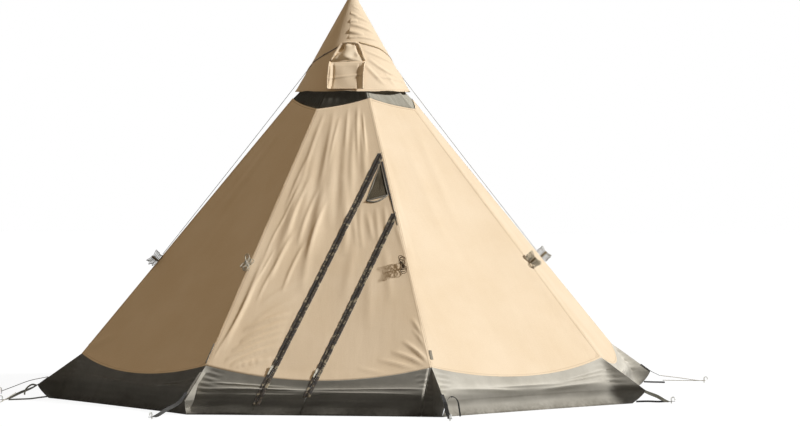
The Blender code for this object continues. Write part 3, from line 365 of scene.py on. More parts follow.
tent = {"ridgeFloor": 1.882, "ventRadius": 0.374, "peak": 1.77, "cusp": 1.705,
        "skirtRidge": 0.26, "skirtMid": 0.185, "crease": 0.08, "creaseRidge": 1.92,
        "creaseMid": 1.70, "hemRidge": 1.86, "hemMid": 1.70, "zip1Top": 1.45,
        "zip1Floor": -0.354, "zip2Top": 1.105, "zip2Floor": -0.090}
sector = math.pi / 4
tanHalf, cosHalf = math.tan(sector / 2), math.cos(sector / 2)
ridgeSlope = (tent["ridgeFloor"] - tent["ventRadius"]) / tent["peak"]
wallRun = math.hypot(1, ridgeSlope * cosHalf)
ridgeNames = ["front_left", "front_right", "right_front", "right_back",
              "back_right", "back_left", "left_back", "left_front"]
faceNames = ["door", "front_right", "right", "back_right",
             "back", "back_left", "left", "front_left"]
up = Vector((0, 0, 1))


def wallRadius(height):
    return tent["ridgeFloor"] - ridgeSlope * height


def wallOut(height):
    return wallRadius(height) * cosHalf


def ridgePoint(ridge, radius, height, turn=0.0):
    angle = (ridge - 0.5) * sector + math.radians(turn)
    return Vector((radius * math.sin(angle), -radius * math.cos(angle), height))


def facePlaces(face, across, out, height):
    # arrays of places on a face, from how far across, out and up they lie
    angle = face * sector
    return np.stack([out * math.sin(angle) + across * math.cos(angle),
                     across * math.sin(angle) - out * math.cos(angle), height], axis=-1)


def faceNormal(face):
    angle = face * sector
    run = ridgeSlope * cosHalf
    return np.array([math.sin(angle), -math.cos(angle), run]) / wallRun


seamHalf = wallOut(tent["skirtRidge"]) * tanHalf


def seamHeight(across):
    return tent["skirtMid"] + (tent["skirtRidge"] - tent["skirtMid"]) * (across / seamHalf) ** 2


def zipAcross(name, height):
    top, floor = tent[name + "Top"], tent[name + "Floor"]
    return floor + (wallOut(top) * tanHalf - floor) * height / top


def ventHeight(face, share):
    left = tent["peak"] if face % 2 else tent["cusp"]
    right = tent["cusp"] if face % 2 else tent["peak"]
    # the vent's edge hangs in a shallow curve from ridge to ridge
    along, lean = (share + 1) / 2, 1 if face % 2 else -1
    return left + (right - left) * (along + 0.10 * np.sin(math.pi * along) * lean)


# Folds: each runs from one place on a face to another, with a width and a rise


def foldRise(across, height, folds):
    total = np.zeros_like(across)
    for startAcross, startUp, endAcross, endUp, width, rise, bow in folds:
        dx, dy = endAcross - startAcross, (endUp - startUp) * wallRun
        length = math.hypot(dx, dy)
        px, py = across - startAcross, (height - startUp) * wallRun
        along = (px * dx + py * dy) / length ** 2
        aside = (py * dx - px * dy) / length + bow * np.clip(along * (1 - along), 0, 1) * 4
        inside = np.clip(along, 0, 1)
        taper = np.sin(math.pi * inside) ** 0.7 * ((along > 0) & (along < 1))
        total += rise * taper * np.exp(-(aside / width) ** 2)
    return total


def fromMillimetres(rows):
    return [tuple(value / 1000 for value in row) for row in rows]


# start across, start up, end across, end up, width, rise, bow
doorFolds = fromMillimetres([
    (-112, 1690, -205, 1270, 12, 4.5, 10), (-60, 1710, -105, 1240, 15, 5, -8),
    (22, 1720, 30, 1460, 10, 3.5, 0), (78, 1730, 118, 1360, 11, 6.5, 4),
    (112, 1680, 160, 1420, 7, 5.5, 0), (-20, 1660, -60, 1360, 9, 3.5, 4),
    (-170, 1460, -290, 1100, 10, 3.5, 8), (-215, 1260, -310, 1020, 8, 3.5, 0),
    (-160, 1300, -260, 960, 12, 6, 10), (-105, 1240, -190, 920, 12, 6, 10),
    (-45, 1180, -130, 840, 12, 6, 10), (-270, 1100, -370, 860, 8, 3.5, 10),
    (-215, 1000, -330, 720, 12, 6, 10), (-150, 940, -250, 660, 11, 6, 10),
    (-320, 900, -410, 700, 8, 4, 0), (-285, 840, -390, 600, 10, 4, 10),
    (-30, 1660, -20, 1020, 30, 9, 10), (20, 1680, 50, 980, 26, 8, 0),
    (-80, 1640, -100, 840, 34, 9, -10), (70, 1660, 100, 1150, 20, 8, 10),
    (-130, 1600, -200, 920, 30, 7, 0), (110, 1600, 170, 1280, 18, 7, 0),
    (-170, 1520, -280, 800, 28, 6, 10), (50, 1300, 80, 860, 22, 7, -10),
    (-60, 1250, -140, 660, 24, 7, 15), (-200, 1300, -330, 720, 22, 4, 0),
    (100, 1140, 150, 920, 14, 4, 0), (150, 1150, 190, 900, 12, 4, 10),
    (190, 1110, 240, 950, 12, 5, 0), (240, 1140, 280, 920, 12, 4, 0),
    (290, 1140, 320, 980, 10, 4, 0), (130, 960, 100, 620, 26, 3, -10),
    (360, 1060, 460, 820, 12, 5, 0), (460, 960, 545, 560, 12, 5, 10),
    (310, 920, 380, 600, 24, 3, 0), (240, 800, 260, 460, 30, 3, 0),
    # rays to the lower left corner from the zip
    (-200, 500, -460, 385, 10, 13, 10), (-210, 460, -500, 335, 10, 14, 10),
    (-220, 420, -530, 285, 10, 14, 10), (-235, 375, -500, 262, 9, 12, 10),
    (-270, 300, -500, 248, 8, 9, 5), (-190, 540, -450, 450, 10, 11, 10),
    (-250, 310, -420, 235, 9, 5, 5), (-120, 740, -360, 600, 13, 4, 10),
    (-160, 630, -390, 500, 13, 5, 10), (-180, 560, -420, 440, 11, 5, 10),
    # along the left ridge
    (-390, 800, -560, 330, 14, 6, -10), (-430, 660, -600, 300, 10, 5, -10),
    (-350, 920, -470, 550, 16, 4, 0),
    # rays to the lower right corner
    (460, 400, 630, 268, 11, 10, -10), (400, 345, 620, 258, 10, 10, -10),
    (330, 300, 580, 240, 9, 9, -5), (220, 255, 440, 212, 9, 6, 0), (500, 520, 630, 330, 12, 8, -10),
    (510, 460, 635, 300, 8, 6, -10),
])
rightFolds = fromMillimetres([
    (-200, 1620, -340, 1050, 16, 4, 0), (-270, 1300, -440, 760, 14, 4, 10),
    (-340, 1100, -460, 700, 12, 3, 0), (-440, 720, -580, 360, 14, 3, 0),
    (-500, 800, -560, 500, 10, 3, 0), (100, 1660, 60, 1000, 34, 3, 0),
    (400, 900, 520, 460, 26, 3, 0), (-20, 1600, -100, 900, 40, 3, 0),
    (470, 420, 600, 300, 16, 3, 0), (-600, 330, -420, 420, 14, 3, 0),
])


def plainFolds(seed):
    # long soft folds down from the vent and short rays at the lower corners
    dice = random.Random(seed)
    found = []
    for _ in range(9):
        start = dice.uniform(-0.12, 0.12)
        top, drop = dice.uniform(1.3, 1.68), dice.uniform(0.4, 0.8)
        found.append((start, top, start * dice.uniform(2.2, 3.4), top - drop,
                      dice.uniform(0.02, 0.035), dice.uniform(0.002, 0.004),
                      dice.uniform(-0.01, 0.01)))
    for side in (-1, 1):
        for _ in range(4):
            reach = dice.uniform(0.12, 0.28)
            rise = dice.uniform(0.03, 0.2)
            found.append((side * 0.63, 0.285, side * (0.63 - reach), 0.285 + rise * reach * 3,
                          dice.uniform(0.010, 0.016), dice.uniform(0.002, 0.005), 0.0))
    return found


faceFolds = {0: doorFolds, 1: rightFolds}
for plainFace in range(2, 8):
    faceFolds[plainFace] = plainFolds(plainFace)


def clothRise(face, across, height):
    # how far the cloth stands off its flat plane: hollow between the ridges, folds on top
    half = wallOut(height) * tanHalf
    share = np.clip(np.abs(across) / half, 0, 1)
    low = np.clip((height - seamHeight(across)) / 0.05, 0, 1)
    top = np.clip((ventHeight(face, across / half) - height) / 0.06, 0, 1)
    edge = np.clip((1 - share) * half / 0.03, 0, 1)
    hold = low * top * edge
    hollow = -0.010 * (1 - share ** 2) * np.sin(math.pi * np.clip(height / 1.8, 0, 1))
    slow = 0.0022 * np.sin(9 * across + 3.1 * height + face) * np.sin(7.3 * height + 1.7 * face)
    folds = foldRise(across, height, faceFolds[face])
    return hold * (folds + slow) + hollow * np.minimum(1, edge) * low * top


def clothPlaces(face, across, height, lift=0.0):
    across, height = np.asarray(across, float), np.asarray(height, float)
    flat = facePlaces(face, across, wallOut(height), height)
    rise = clothRise(face, across, height) + lift
    return flat + rise[..., None] * faceNormal(face)


# Meshes


def newObject(name, mesh, finish):
    mesh.materials.append(finish)
    return addObject(name, mesh)


def gridMesh(name, places, uv, finish, seam=None, closed=False):
    # rows run along the first axis; a closed one joins its last column to its first
    rows, cols = places.shape[:2]
    verts = places.reshape(-1, 3)
    last = cols if closed else cols - 1
    faces = []
    for r in range(rows - 1):
        for c in range(last):
            k = (c + 1) % cols
            faces.append((r * cols + c, r * cols + k, (r + 1) * cols + k, (r + 1) * cols + c))
    mesh = bpy.data.meshes.new(name)
    mesh.from_pydata(verts.tolist(), [], faces)
    layer = mesh.uv_layers.new(name="cloth")
    flatUv = uv.reshape(-1, 2)
    loops = np.empty(len(mesh.loops), dtype=np.int32)
    mesh.loops.foreach_get("vertex_index", loops)
    layer.data.foreach_set("uv", flatUv[loops].astype(np.float32).ravel())
    if seam is not None:
        attribute = mesh.attributes.new("seam", "FLOAT", "POINT")
        attribute.data.foreach_set("value", seam.reshape(-1).astype(np.float32))
    mesh.shade_smooth()
    return newObject(name, mesh, finish)


def pick(obj):
    bpy.ops.object.select_all(action="DESELECT")
    obj.select_set(True)
    bpy.context.view_layer.objects.active = obj


def applyModifier(obj, kind, settings):
    pick(obj)
    step = obj.modifiers.new(kind.lower(), kind)
    for key, value in settings.items():
        setattr(step, key, value)
    bpy.ops.object.modifier_apply(modifier=step.name)


def smoothBy(obj, degrees):
    pick(obj)
    bpy.ops.object.shade_smooth_by_angle(angle=math.radians(degrees))


def editMesh(mesh, *steps):
    form = bmesh.new()
    form.from_mesh(mesh)
    for step in steps:
        step(form)
    form.to_mesh(mesh)
    form.free()


def weld(distance):
    return lambda form: bmesh.ops.remove_doubles(form, verts=form.verts, dist=distance)


def fillHoles(form):
    edges = [edge for edge in form.edges if edge.is_boundary]
    bmesh.ops.holes_fill(form, edges=edges, sides=0)


def faceOut(form):
    bmesh.ops.recalc_face_normals(form, faces=form.faces)


def weldUp(obj):
    editMesh(obj.data, weld(0.00005))
    return obj


def joinUp(name, pieces):
    bpy.ops.object.select_all(action="DESELECT")
    for piece in pieces:
        piece.select_set(True)
    bpy.context.view_layer.objects.active = pieces[0]
    bpy.ops.object.join()
    pieces[0].name = name
    pieces[0].data.name = name
    return pieces[0]


def cutThrough(obj, rings):
    # a prism between two rings is taken out of the piece
    count = len(rings[0])
    faces = [tuple(range(count)), tuple(range(2 * count - 1, count - 1, -1))]
    faces += [(i, (i + 1) % count, count + (i + 1) % count, count + i) for i in range(count)]
    mesh = bpy.data.meshes.new("prism")
    mesh.from_pydata([tuple(p) for ring in rings for p in ring], [], faces)
    editMesh(mesh, faceOut)
    prism = addObject("prism", mesh)
    applyModifier(obj, "BOOLEAN", {"object": prism, "operation": "DIFFERENCE", "solver": "EXACT"})
    bpy.data.objects.remove(prism, do_unlink=True)


def tubeMesh(name, points, radius, finish, sides=8, rough=0.0, seed=1):
    dice = random.Random(seed)
    count = len(points)
    rings = np.zeros((count, sides, 3))
    normal = None
    for i, place in enumerate(points):
        along = (points[min(i + 1, count - 1)] - points[max(i - 1, 0)]).normalized()
        if normal is None:
            normal = along.orthogonal().normalized()
        normal = (normal - along * normal.dot(along)).normalized()
        side = along.cross(normal)
        size = radius * (1 + rough * dice.uniform(-1, 1))
        for k in range(sides):
            angle = 2 * math.pi * k / sides
            rings[i, k] = place + (normal * math.cos(angle) + side * math.sin(angle)) * size
    uv = np.zeros(rings.shape[:2] + (2,))
    uv[..., 0] = np.arange(sides)[None, :] * 2 * math.pi * radius / sides
    uv[..., 1] = np.arange(count)[:, None] * 0.004
    obj = gridMesh(name, rings, uv, finish, closed=True)
    editMesh(obj.data, weld(0.00002), fillHoles, faceOut)
    return obj


def dress(obj, body, nodes=()):
    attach(obj, body)
    if nodes:
        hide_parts(*nodes)


def layTape(name, line, edges, lifts, along, girth, finish, body):
    # line gives the tape's places for an edge and a lift: its section runs there and back
    rings = np.stack([line(edge, lift) for lift, order in zip(lifts, (1, -1))
                      for edge in edges[::order]], axis=1)
    uv = np.zeros(rings.shape[:2] + (2,))
    uv[..., 0] = np.linspace(0, girth, rings.shape[1])[None, :]
    uv[..., 1] = along[:, None]
    obj = gridMesh(name, rings, uv, finish, closed=True)
    editMesh(obj.data, fillHoles, faceOut)
    dress(obj, body)


def sewSheet(obj, thickness, body, nodes, smooth=0,
             work=None):
    # a cloth grid gets its thickness, then any work on it, and is dressed onto its body in place of
    # its nodes
    applyModifier(obj, "SOLIDIFY", {"thickness": thickness, "offset": -1.0,
                                    "use_quality_normals": True})
    if work:
        work(obj)
    dress(obj, body, nodes)
    if smooth:
        smoothBy(obj, smooth)


# Cords lie where the part's own cord solids lie


def smoothRoute(points, count):
    route = [Vector(p) for p in points]
    spans = len(route) - 1
    gaps = [(b - a).length for a, b in zip(route, route[1:])]
    steps = [(b - a) / gap for a, b, gap in zip(route, route[1:], gaps)]
    slopes = [steps[0]]
    for i in range(1, spans):
        slopes.append((steps[i - 1] * gaps[i] + steps[i] * gaps[i - 1]) / (gaps[i - 1] + gaps[i]))
    slopes.append(steps[-1])
    found = []
    for i in range(count):
        along = spans * i / (count - 1)
        span = min(int(along), spans - 1)
        t = along - span
        bend = 3 * t ** 2 - 2 * t ** 3
        leave, arrive = t - 2 * t ** 2 + t ** 3, t ** 3 - t ** 2
        found.append(route[span].lerp(route[span + 1], bend)
                     + gaps[span] * (leave * slopes[span] + arrive * slopes[span + 1]))
    return found


def layCord(obj, body, node, points, diameter, farEnd, lay="taut", **more):
    dress(obj, body, [node])


def cordCurve(name, points, diameter, finish):
    curve = bpy.data.curves.new(name, "CURVE")
    curve.dimensions = "3D"
    curve.bevel_depth = diameter / 2
    curve.bevel_resolution = 3
    curve.use_fill_caps = True
    spline = curve.splines.new("POLY")
    spline.points.add(len(points) - 1)
    for point, place in zip(spline.points, points):
        point.co = (*place, 1)
    curve.materials.append(finish)
    return addObject(name, curve)


capFacts = {"hemRadius": 0.345, "hemHeight": 1.81, "shoulderRadius": 0.030, "shoulderHeight": 2.37,
            "top": 2.40, "segments": 24, "cordShare": 0.3, "cord": 0.003}
capRise = capFacts["shoulderHeight"] - capFacts["hemHeight"]
capRate = (capFacts["hemRadius"] - capFacts["shoulderRadius"]) / capRise
capRun = math.hypot(1, capRate)
hankFacts = {"height": 0.80, "halfLength": 0.046, "halfWidth": 0.026, "cord": 0.004,
             "gap": 0.0003}


def capRadius(height):
    return capFacts["hemRadius"] - capRate * (height - capFacts["hemHeight"])


def hankFrame(ridge):
    facts = hankFacts
    top = ridgePoint(ridge, wallRadius(facts["height"]), facts["height"])
    floor = ridgePoint(ridge, tent["ridgeFloor"], 0.0)
    down = (floor - top).normalized()
    across = down.cross(up).normalized()
    outward = across.cross(down).normalized()
    if outward.z < 0:
        outward = -outward
    if ridge == 1:
        # this hank is tied to the door flap, beside the ridge
        out = wallOut(facts["height"])
        outward = Vector(faceNormal(0))
        across = outward.cross(down).normalized()
        if across.x > 0:
            across = -across
        top = Vector(facePlaces(0, out * tanHalf, out, facts["height"]))
        top += across * (facts["halfWidth"] + facts["cord"])
    return top + outward * (facts["cord"] / 2 + facts["gap"]), down, across, outward


def capCord(name, node, ridge):
    facts = capFacts
    height = facts["hemHeight"] + capRise * facts["cordShare"]
    seat = capRadius(height) * math.cos(math.pi / facts["segments"])
    start = ridgePoint(ridge, seat + (facts["cord"] / 2 + hankFacts["gap"]) * capRun, height)
    centre, down, _, outward = hankFrame(ridge)
    end = centre - down * (hankFacts["halfLength"] + hankFacts["cord"]) + outward * facts["cord"]
    middle = start.lerp(end, 0.5) - outward * facts["cord"]
    points = smoothRoute([start, middle, end], 30)
    obj = cordCurve(name, points, facts["cord"], greyCord)
    layCord(obj, "canopy", node, points, facts["cord"], "object")


capCord("capCordLeft", "cap_cord_left", 7)
capCord("capCordRight", "cap_cord_right", 3)

guyDiameter = 0.004
guyRoutes = {
    "guy_cord_high": [(-1.7205, -0.7127, 0.1256), (-1.8570, -0.6070, 0.0930),
                      (-1.9750, -0.5120, 0.0500), (-2.0640, -0.4430, 0.0170)],
    "guy_cord_low": [(-1.8800, -0.8600, 0.0420), (-1.8950, -0.9700, 0.0250),
                     (-1.9180, -1.1075, 0.0040)],
    "guy_cord_right": [(1.8377, 0.7511, 0.0515), (1.9650, 0.8040, 0.0330), (2.0750, 0.8500, 0.0150),
                       (2.1002, 0.8620, 0.0130), (2.1104, 0.8668, 0.0130), (2.1137, 0.8750, 0.0130),
                       (2.1036, 0.8798, 0.0130), (2.0900, 0.8750, 0.0130), (1.9900, 0.8380, 0.0150),
                       (1.8500, 0.7850, 0.0200)],
}


def guyCord(node, name, farEnd):
    points = smoothRoute(guyRoutes[node], 40)
    obj = cordCurve(name, points, guyDiameter, paleCord)
    layCord(obj, "canopy", node, points, guyDiameter, farEnd)


guyCord("guy_cord_high", "guyCordHigh", "knot")
guyCord("guy_cord_low", "guyCordLow", "knot")
guyCord("guy_cord_right", "guyCordRight", "object")
print("cords laid")

# Canopy walls: one sewn sheet round the seven plain faces


hemSteps = np.array([0.0, 0.006, 0.0118, 0.0132])    # a seam strip and its edge
hemLift, hemWidth = 0.0010, 0.0125    # how far a seam strip stands off, and how wide it is


def between(low, high, count, tightLow=True, tightHigh=True, axis=0):
    # evenly spaced values, with close ones at a true distance from each edge that has a strip
    start = [low + d for d in hemSteps] if tightLow else [low]
    end = [high - d for d in hemSteps[::-1]] if tightHigh else [high]
    inner = count - len(start) - len(end)
    a, b = start[-1], end[0]
    middle = [a + (b - a) * (i + 1) / (inner + 1) for i in range(inner)]
    return np.stack([*start, *middle, *end], axis=axis)


def seamDistance(face, across, height):
    half = wallOut(height) * tanHalf
    aside = half - np.abs(across)
    low = (height - seamHeight(across)) * wallRun
    high = (ventHeight(face, across / half) - height) * wallRun
    return np.minimum(np.minimum(aside, low), high)


def wallPatch(face, cols, rows):
    bottom = between(np.float64(-seamHalf), np.float64(seamHalf), cols)
    topHalf = wallOut(tent["cusp"]) * tanHalf
    topShare = between(np.float64(-topHalf), np.float64(topHalf), cols) / topHalf
    low, high = seamHeight(bottom), ventHeight(face, topShare)
    height = between(low * wallRun, high * wallRun, rows) / wallRun
    half = wallOut(height) * tanHalf
    column = np.arange(cols)
    across = between(-half, half, cols)[column, :, column].T
    seam = seamDistance(face, across, height)
    places = clothPlaces(face, across, height, hemLift * (seam < hemWidth))
    uv = np.stack([across + face * 1.6, height * wallRun], axis=-1)
    return gridMesh(f"wall{face}", places, uv, canvas, seam)


wallFacts = {"cols": 45, "rows": 74, "thickness": 0.0012, "flat": (10.2, 2.2)}


def canopyWalls(facts):
    faces = range(1, 8)
    obj = joinUp("canopyWalls", [wallPatch(face, facts["cols"], facts["rows"]) for face in faces])
    nodes = [f"wall_{faceNames[face]}" for face in faces]
    sewSheet(weldUp(obj), facts["thickness"], "canopy", nodes,
             smooth=30)


canopyWalls(wallFacts)
print("walls sewn")

# Door: three pieces of one face, parted by the zips

doorFacts = {"slit": 0.0013, "skirtSlit": 0.0002, "thickness": 0.0012}


def doorPatch(name, left, right, topHeight, cols, rows):
    # left and right give how far across each edge lies at a height
    share, step = np.meshgrid(np.linspace(0, 1, cols), np.linspace(0, 1, rows))

    def acrossAt(height):
        edgeLeft, edgeRight = left(height), right(height)
        return edgeLeft + (edgeRight - edgeLeft) * share

    low = np.full(share.shape, tent["skirtMid"])
    for _ in range(6):
        low = seamHeight(acrossAt(low))
    high = topHeight(share)
    height = low + (high - low) * step
    across = acrossAt(height)
    places = clothPlaces(0, across, height)
    half = wallOut(height) * tanHalf
    uv = np.stack([across, height * wallRun], axis=-1)
    return gridMesh(name, places, uv, canvas, half - np.abs(across))


def ridgeRight(height):
    return wallOut(height) * tanHalf - 0.0003


def meetHeight(name, shift):
    # where a line beside the zip meets the door's right ridge
    foot, head = [zipAcross(name, height) - wallOut(height) * tanHalf for height in (0.0, 1.0)]
    return -(zipAcross(name, 0.0) + shift - wallOut(0.0) * tanHalf) / (head - foot)


def doorPieces(facts):
    slit = facts["slit"]

    def zipEdge(name, shift):
        return lambda height: np.minimum(zipAcross(name, height) + shift, ridgeRight(height))

    def under(name):
        return lambda share: np.full(share.shape, meetHeight(name, 0.0) - 0.006)

    def piece(name, left, right, top, grid, body, node, flat, work=None):
        obj = doorPatch(name, left, right, top, *grid)
        sewSheet(obj, facts["thickness"], body, [node], work=work)

    piece("doorPanel", lambda height: -ridgeRight(height), zipEdge("zip1", -slit),
          lambda share: ventHeight(0, 2 * share - 1), (90, 120), "canopy", "door_panel_left",
          (1.25, 2.2))
    piece("doorBand", zipEdge("zip1", slit), zipEdge("zip2", -slit), under("zip1"), (36, 130),
          "door_band", "door_band", (0.55, 1.75), cutWindow)
    piece("doorFlap", zipEdge("zip2", slit), ridgeRight, under("zip2"), (70, 90),
          "door_flap", "door_flap", (0.8, 1.25))


# corners of the net window, across and up, how deep it is cut, and its netting and bound edge
windowFacts = {"corners": [(0.246, 1.385), (0.181, 1.173), (0.306, 1.202)], "depth": 0.06,
               "thickness": 0.0006, "flat": (0.14, 0.30),
               "edge": ((-0.004, 0.0006), (-0.004, 0.0022), (0.0056, 0.0022), (0.0056, 0.0006))}


def cutWindow(band):
    normal = Vector(faceNormal(0))
    cutThrough(band, [[Vector(facePlaces(0, a, wallOut(h), h)) + depth * normal
                       for a, h in windowFacts["corners"]]
                      for depth in (-windowFacts["depth"], windowFacts["depth"])])


def windowNet():
    # netting a little inside its edge, and a narrow bound edge round it
    corners = [Vector((a, h * wallRun, 0)) for a, h in windowFacts["corners"]]
    share = np.linspace(0, 1, 12)
    grid = np.array([[corners[0].lerp(corners[1], u).lerp(corners[0].lerp(corners[2], u), v)[:2]
                      for v in share] for u in share])
    places = clothPlaces(0, grid[..., 0], grid[..., 1] / wallRun, -0.0012)
    net = weldUp(gridMesh("windowNet", places, grid, windowMesh))
    sewSheet(net, windowFacts["thickness"], "door_band", ["door_vent_net"])
    centre = sum(corners, Vector()) / 3
    edge = [a.lerp(b, i / 16) for a, b in zip(corners, corners[1:] + corners[:1])
            for i in range(16)]
    rows = []
    for inward, lift in windowFacts["edge"]:
        spots = [place + (centre - place).normalized() * inward for place in edge]
        rows.append([clothPlaces(0, spot.x, spot.y / wallRun, lift) for spot in spots])
    rings = np.array(rows + rows[:1])
    uv = np.zeros(rings.shape[:2] + (2,))
    uv[..., 0] = np.arange(len(edge))[None, :] * 0.01
    dress(weldUp(gridMesh("windowBinding", rings, uv, paleWebbing, closed=True)),
          "door_band")


def windowTrims():
    # a dark tape between the window and the ridge, its colour painted shade for the shadowed gap
    # there, and a pale roll along the window's sagging foot
    heights = np.linspace(1.395, 1.030, 40)
    taper = np.clip((heights - 1.03) / 0.20, 0.35, 1)
    across = ridgeRight(heights) - 0.006
    layTape("windowTape", lambda edge, lift: clothPlaces(0, across - edge * taper, heights, lift),
            (0.0120, 0.0060, 0.0), (0.0010, 0.0026), heights, 0.03, shadowGapTape,
            "door_band")
    share = np.linspace(0.02, 0.98, 30)
    (leftAcross, leftUp), (rightAcross, rightUp) = windowFacts["corners"][1:]
    across = leftAcross + (rightAcross - leftAcross) * share
    height = leftUp + (rightUp - leftUp) * share - 0.020 * np.sin(math.pi * share)
    foot = [Vector(place) for place in clothPlaces(0, across, height, 0.004)]
    roll = tubeMesh("windowHem", foot, 0.0048, paleWebbing, rough=0.15, seed=5)
    dress(roll, "door_band")


doorPieces(doorFacts)
windowNet()
windowTrims()
print("door hung")

# Skirt: from the seam out to the crease and down to the hem, pulled out sharply at each ridge

skirtRows = {"slope": 40, "flap": 16}
skirtSheet = {"thickness": 0.0014, "depth": 0.36}
hemHalf = tent["hemRidge"] * cosHalf * tanHalf
creaseHalf = tent["creaseRidge"] * cosHalf * tanHalf
# how far out each ridge is pulled at the crease, and how wide the facet beside it is
skirtPull = {"radii": [1.89, 1.925, 1.955, 1.92, 1.92, 1.92, 1.92, 1.925],
             "facets": [0.02, 0.10, 0.20, 0.12, 0.11, 0.12, 0.10, 0.14],
             "creaseMid": 1.655, "hold": 0.85, "bulge": 0.016, "flare": 0.010}
# face, share from, share to, place down the slope, lean, rise, width
slopeFolds = [(0, -0.95, -0.25, 0.42, -0.10, 0.007, 0.035),
              (0, -0.93, -0.05, 0.62, -0.16, 0.010, 0.045),
              (0, -0.90, 0.10, 0.84, -0.08, 0.008, 0.040),
              (0, -0.10, 0.55, 0.52, 0.05, 0.006, 0.040),
              (0, 0.05, 0.80, 0.76, 0.08, 0.007, 0.045),
              (0, 0.35, 0.93, 0.58, 0.12, 0.006, 0.035),
              (1, -0.85, -0.10, 0.72, 0.16, 0.010, 0.060),
              (1, -0.45, 0.40, 0.60, 0.02, 0.008, 0.050),
              (1, 0.05, 0.80, 0.78, -0.10, 0.010, 0.060),
              (1, 0.30, 0.92, 0.50, -0.12, 0.007, 0.040),
              (1, 0.45, 0.95, 0.36, -0.10, 0.006, 0.035),
              (7, -0.7, 0.1, 0.55, 0.05, 0.006, 0.045), (7, 0.2, 0.93, 0.66, -0.14, 0.008, 0.045),
              (7, 0.45, 0.96, 0.45, -0.16, 0.006, 0.03), (2, -0.8, 0.4, 0.6, 0.05, 0.007, 0.05),
              (4, -0.5, 0.6, 0.7, 0.0, 0.007, 0.05), (5, -0.8, 0.1, 0.5, 0.08, 0.007, 0.05),
              (6, -0.3, 0.8, 0.65, -0.05, 0.007, 0.05)]


def creaseOuts(face, share, t):
    # how far out the crease lies, with the facets beside the ridges opened by a share t
    ridge, width = [np.where(share < 0, skirtPull[key][face % 8], skirtPull[key][(face + 1) % 8])
                    for key in ("radii", "facets")]
    mid, hold = skirtPull["creaseMid"], skirtPull["hold"]
    gain = ridge * cosHalf - mid
    start = 1 - width * max(t, 0.08)
    facet = np.clip((np.abs(share) - start) / (1 - start), 0, 1)
    return mid + gain * ((1 - hold) * share ** 2 + hold * facet)


def slopeLift(face, share, t):
    total = 0 * share
    for foldFace, start, end, place, lean, rise, width in slopeFolds:
        if foldFace != face % 8:
            continue
        along = np.clip((share - start) / (end - start), 0, 1)
        middle = place + lean * (along - 0.5)
        total = total + rise * np.sin(math.pi * along) * np.exp(-((t - middle) / width) ** 2)
    # short tucks beside the ridges
    near = np.exp(-((np.abs(share) - 0.90) / 0.035) ** 2)
    tuck = np.sin(2 * math.pi * (6 * t + 2.4 * np.abs(share)))
    return total + 0.0035 * near * tuck * math.sin(math.pi * min(1.0, t)) ** 0.5


def cutEdges(line):
    # how far across a cut line crosses the seam, the crease and the hem
    seam = line(tent["skirtMid"])
    for _ in range(20):
        seam = line(seamHeight(seam))
    return seam, line(tent["crease"]), line(0.0)


def skirtGrid(face, share):
    # share is an array of places across, -1 to 1, or the across of a cut edge at a height
    rows = []
    slope, flap = skirtRows["slope"], skirtRows["flap"]
    if callable(share):
        seamAcross, creaseAcross, hemAcross = np.array(cutEdges(share))[:, None]
    else:
        seamAcross, creaseAcross, hemAcross = share * seamHalf, share * creaseHalf, share * hemHalf
    seam = seamHeight(seamAcross)
    creaseShare = creaseAcross / creaseHalf
    middle = 1 - creaseShare ** 4
    for i in range(slope + 1):
        t = i / slope
        a = seamAcross + (creaseAcross - seamAcross) * t
        o = wallOut(seam) + (creaseOuts(face, creaseShare, t) - wallOut(seam)) * t
        z = seam + (tent["crease"] - seam) * t
        lift = slopeLift(face, creaseShare, t)
        lift = lift + skirtPull["bulge"] * middle * math.exp(-((t - 0.70) / 0.22) ** 2)
        if i in (0, slope):
            lift = lift * 0
        rows.append((a, o + lift * 0.7, z + lift * 0.7))
    hemGain = tent["hemRidge"] * cosHalf - tent["hemMid"]
    hemOut = tent["hemMid"] + hemGain * (hemAcross / hemHalf) ** 4
    creaseOut = creaseOuts(face, creaseShare, 1.0)
    for i in range(1, flap + 1):
        t = i / flap
        a = creaseAcross + (hemAcross - creaseAcross) * t
        o = creaseOut + (hemOut - creaseOut) * t ** 1.4
        wave = 0.004 * np.sin(19 * a + face * 2.1 + 3 * t) * math.sin(math.pi * t) * middle
        o = o + wave + skirtPull["flare"] * middle * t ** 3 * 0.5
        rows.append((a, o, tent["crease"] * (1 - t) + 0 * a))
    stack = [facePlaces(face, a, o, z) for a, o, z in rows]
    uv = [np.stack([a + face * 1.6, np.full_like(a, -0.007 * k)], axis=-1)
          for k, (a, _, _) in enumerate(rows)]
    return np.array(stack), np.array(uv)


def sewSkirt(name, places, uv, body, nodes, smooth=0):
    obj = weldUp(gridMesh(name, places[::-1], uv[::-1], skirtFabric))
    sewSheet(obj, skirtSheet["thickness"], body, nodes,
             smooth=smooth)


def skirtPiece(name, blocks, body, nodes):
    # blocks are (face, array of shares) in order, and cut edges are functions of height
    stacks, uvs = zip(*[skirtGrid(face, share) for face, share in blocks])
    sewSkirt(name, np.concatenate(stacks, axis=1), np.concatenate(uvs, axis=1), body, nodes,
             35)


def spread(low, high, count):
    # closer together near the ridges
    flat = np.linspace(low, high, count)
    return np.sin(flat * math.pi / 2) * 0.35 + flat * 0.65


def zipShares(name):
    found = (zipAcross(name, 0.2) / seamHalf, zipAcross(name, tent["crease"]) / creaseHalf,
             zipAcross(name, 0.0) / hemHalf)
    return min(found), max(found)


def zipCut(name, shift):
    return lambda height: zipAcross(name, height) + shift


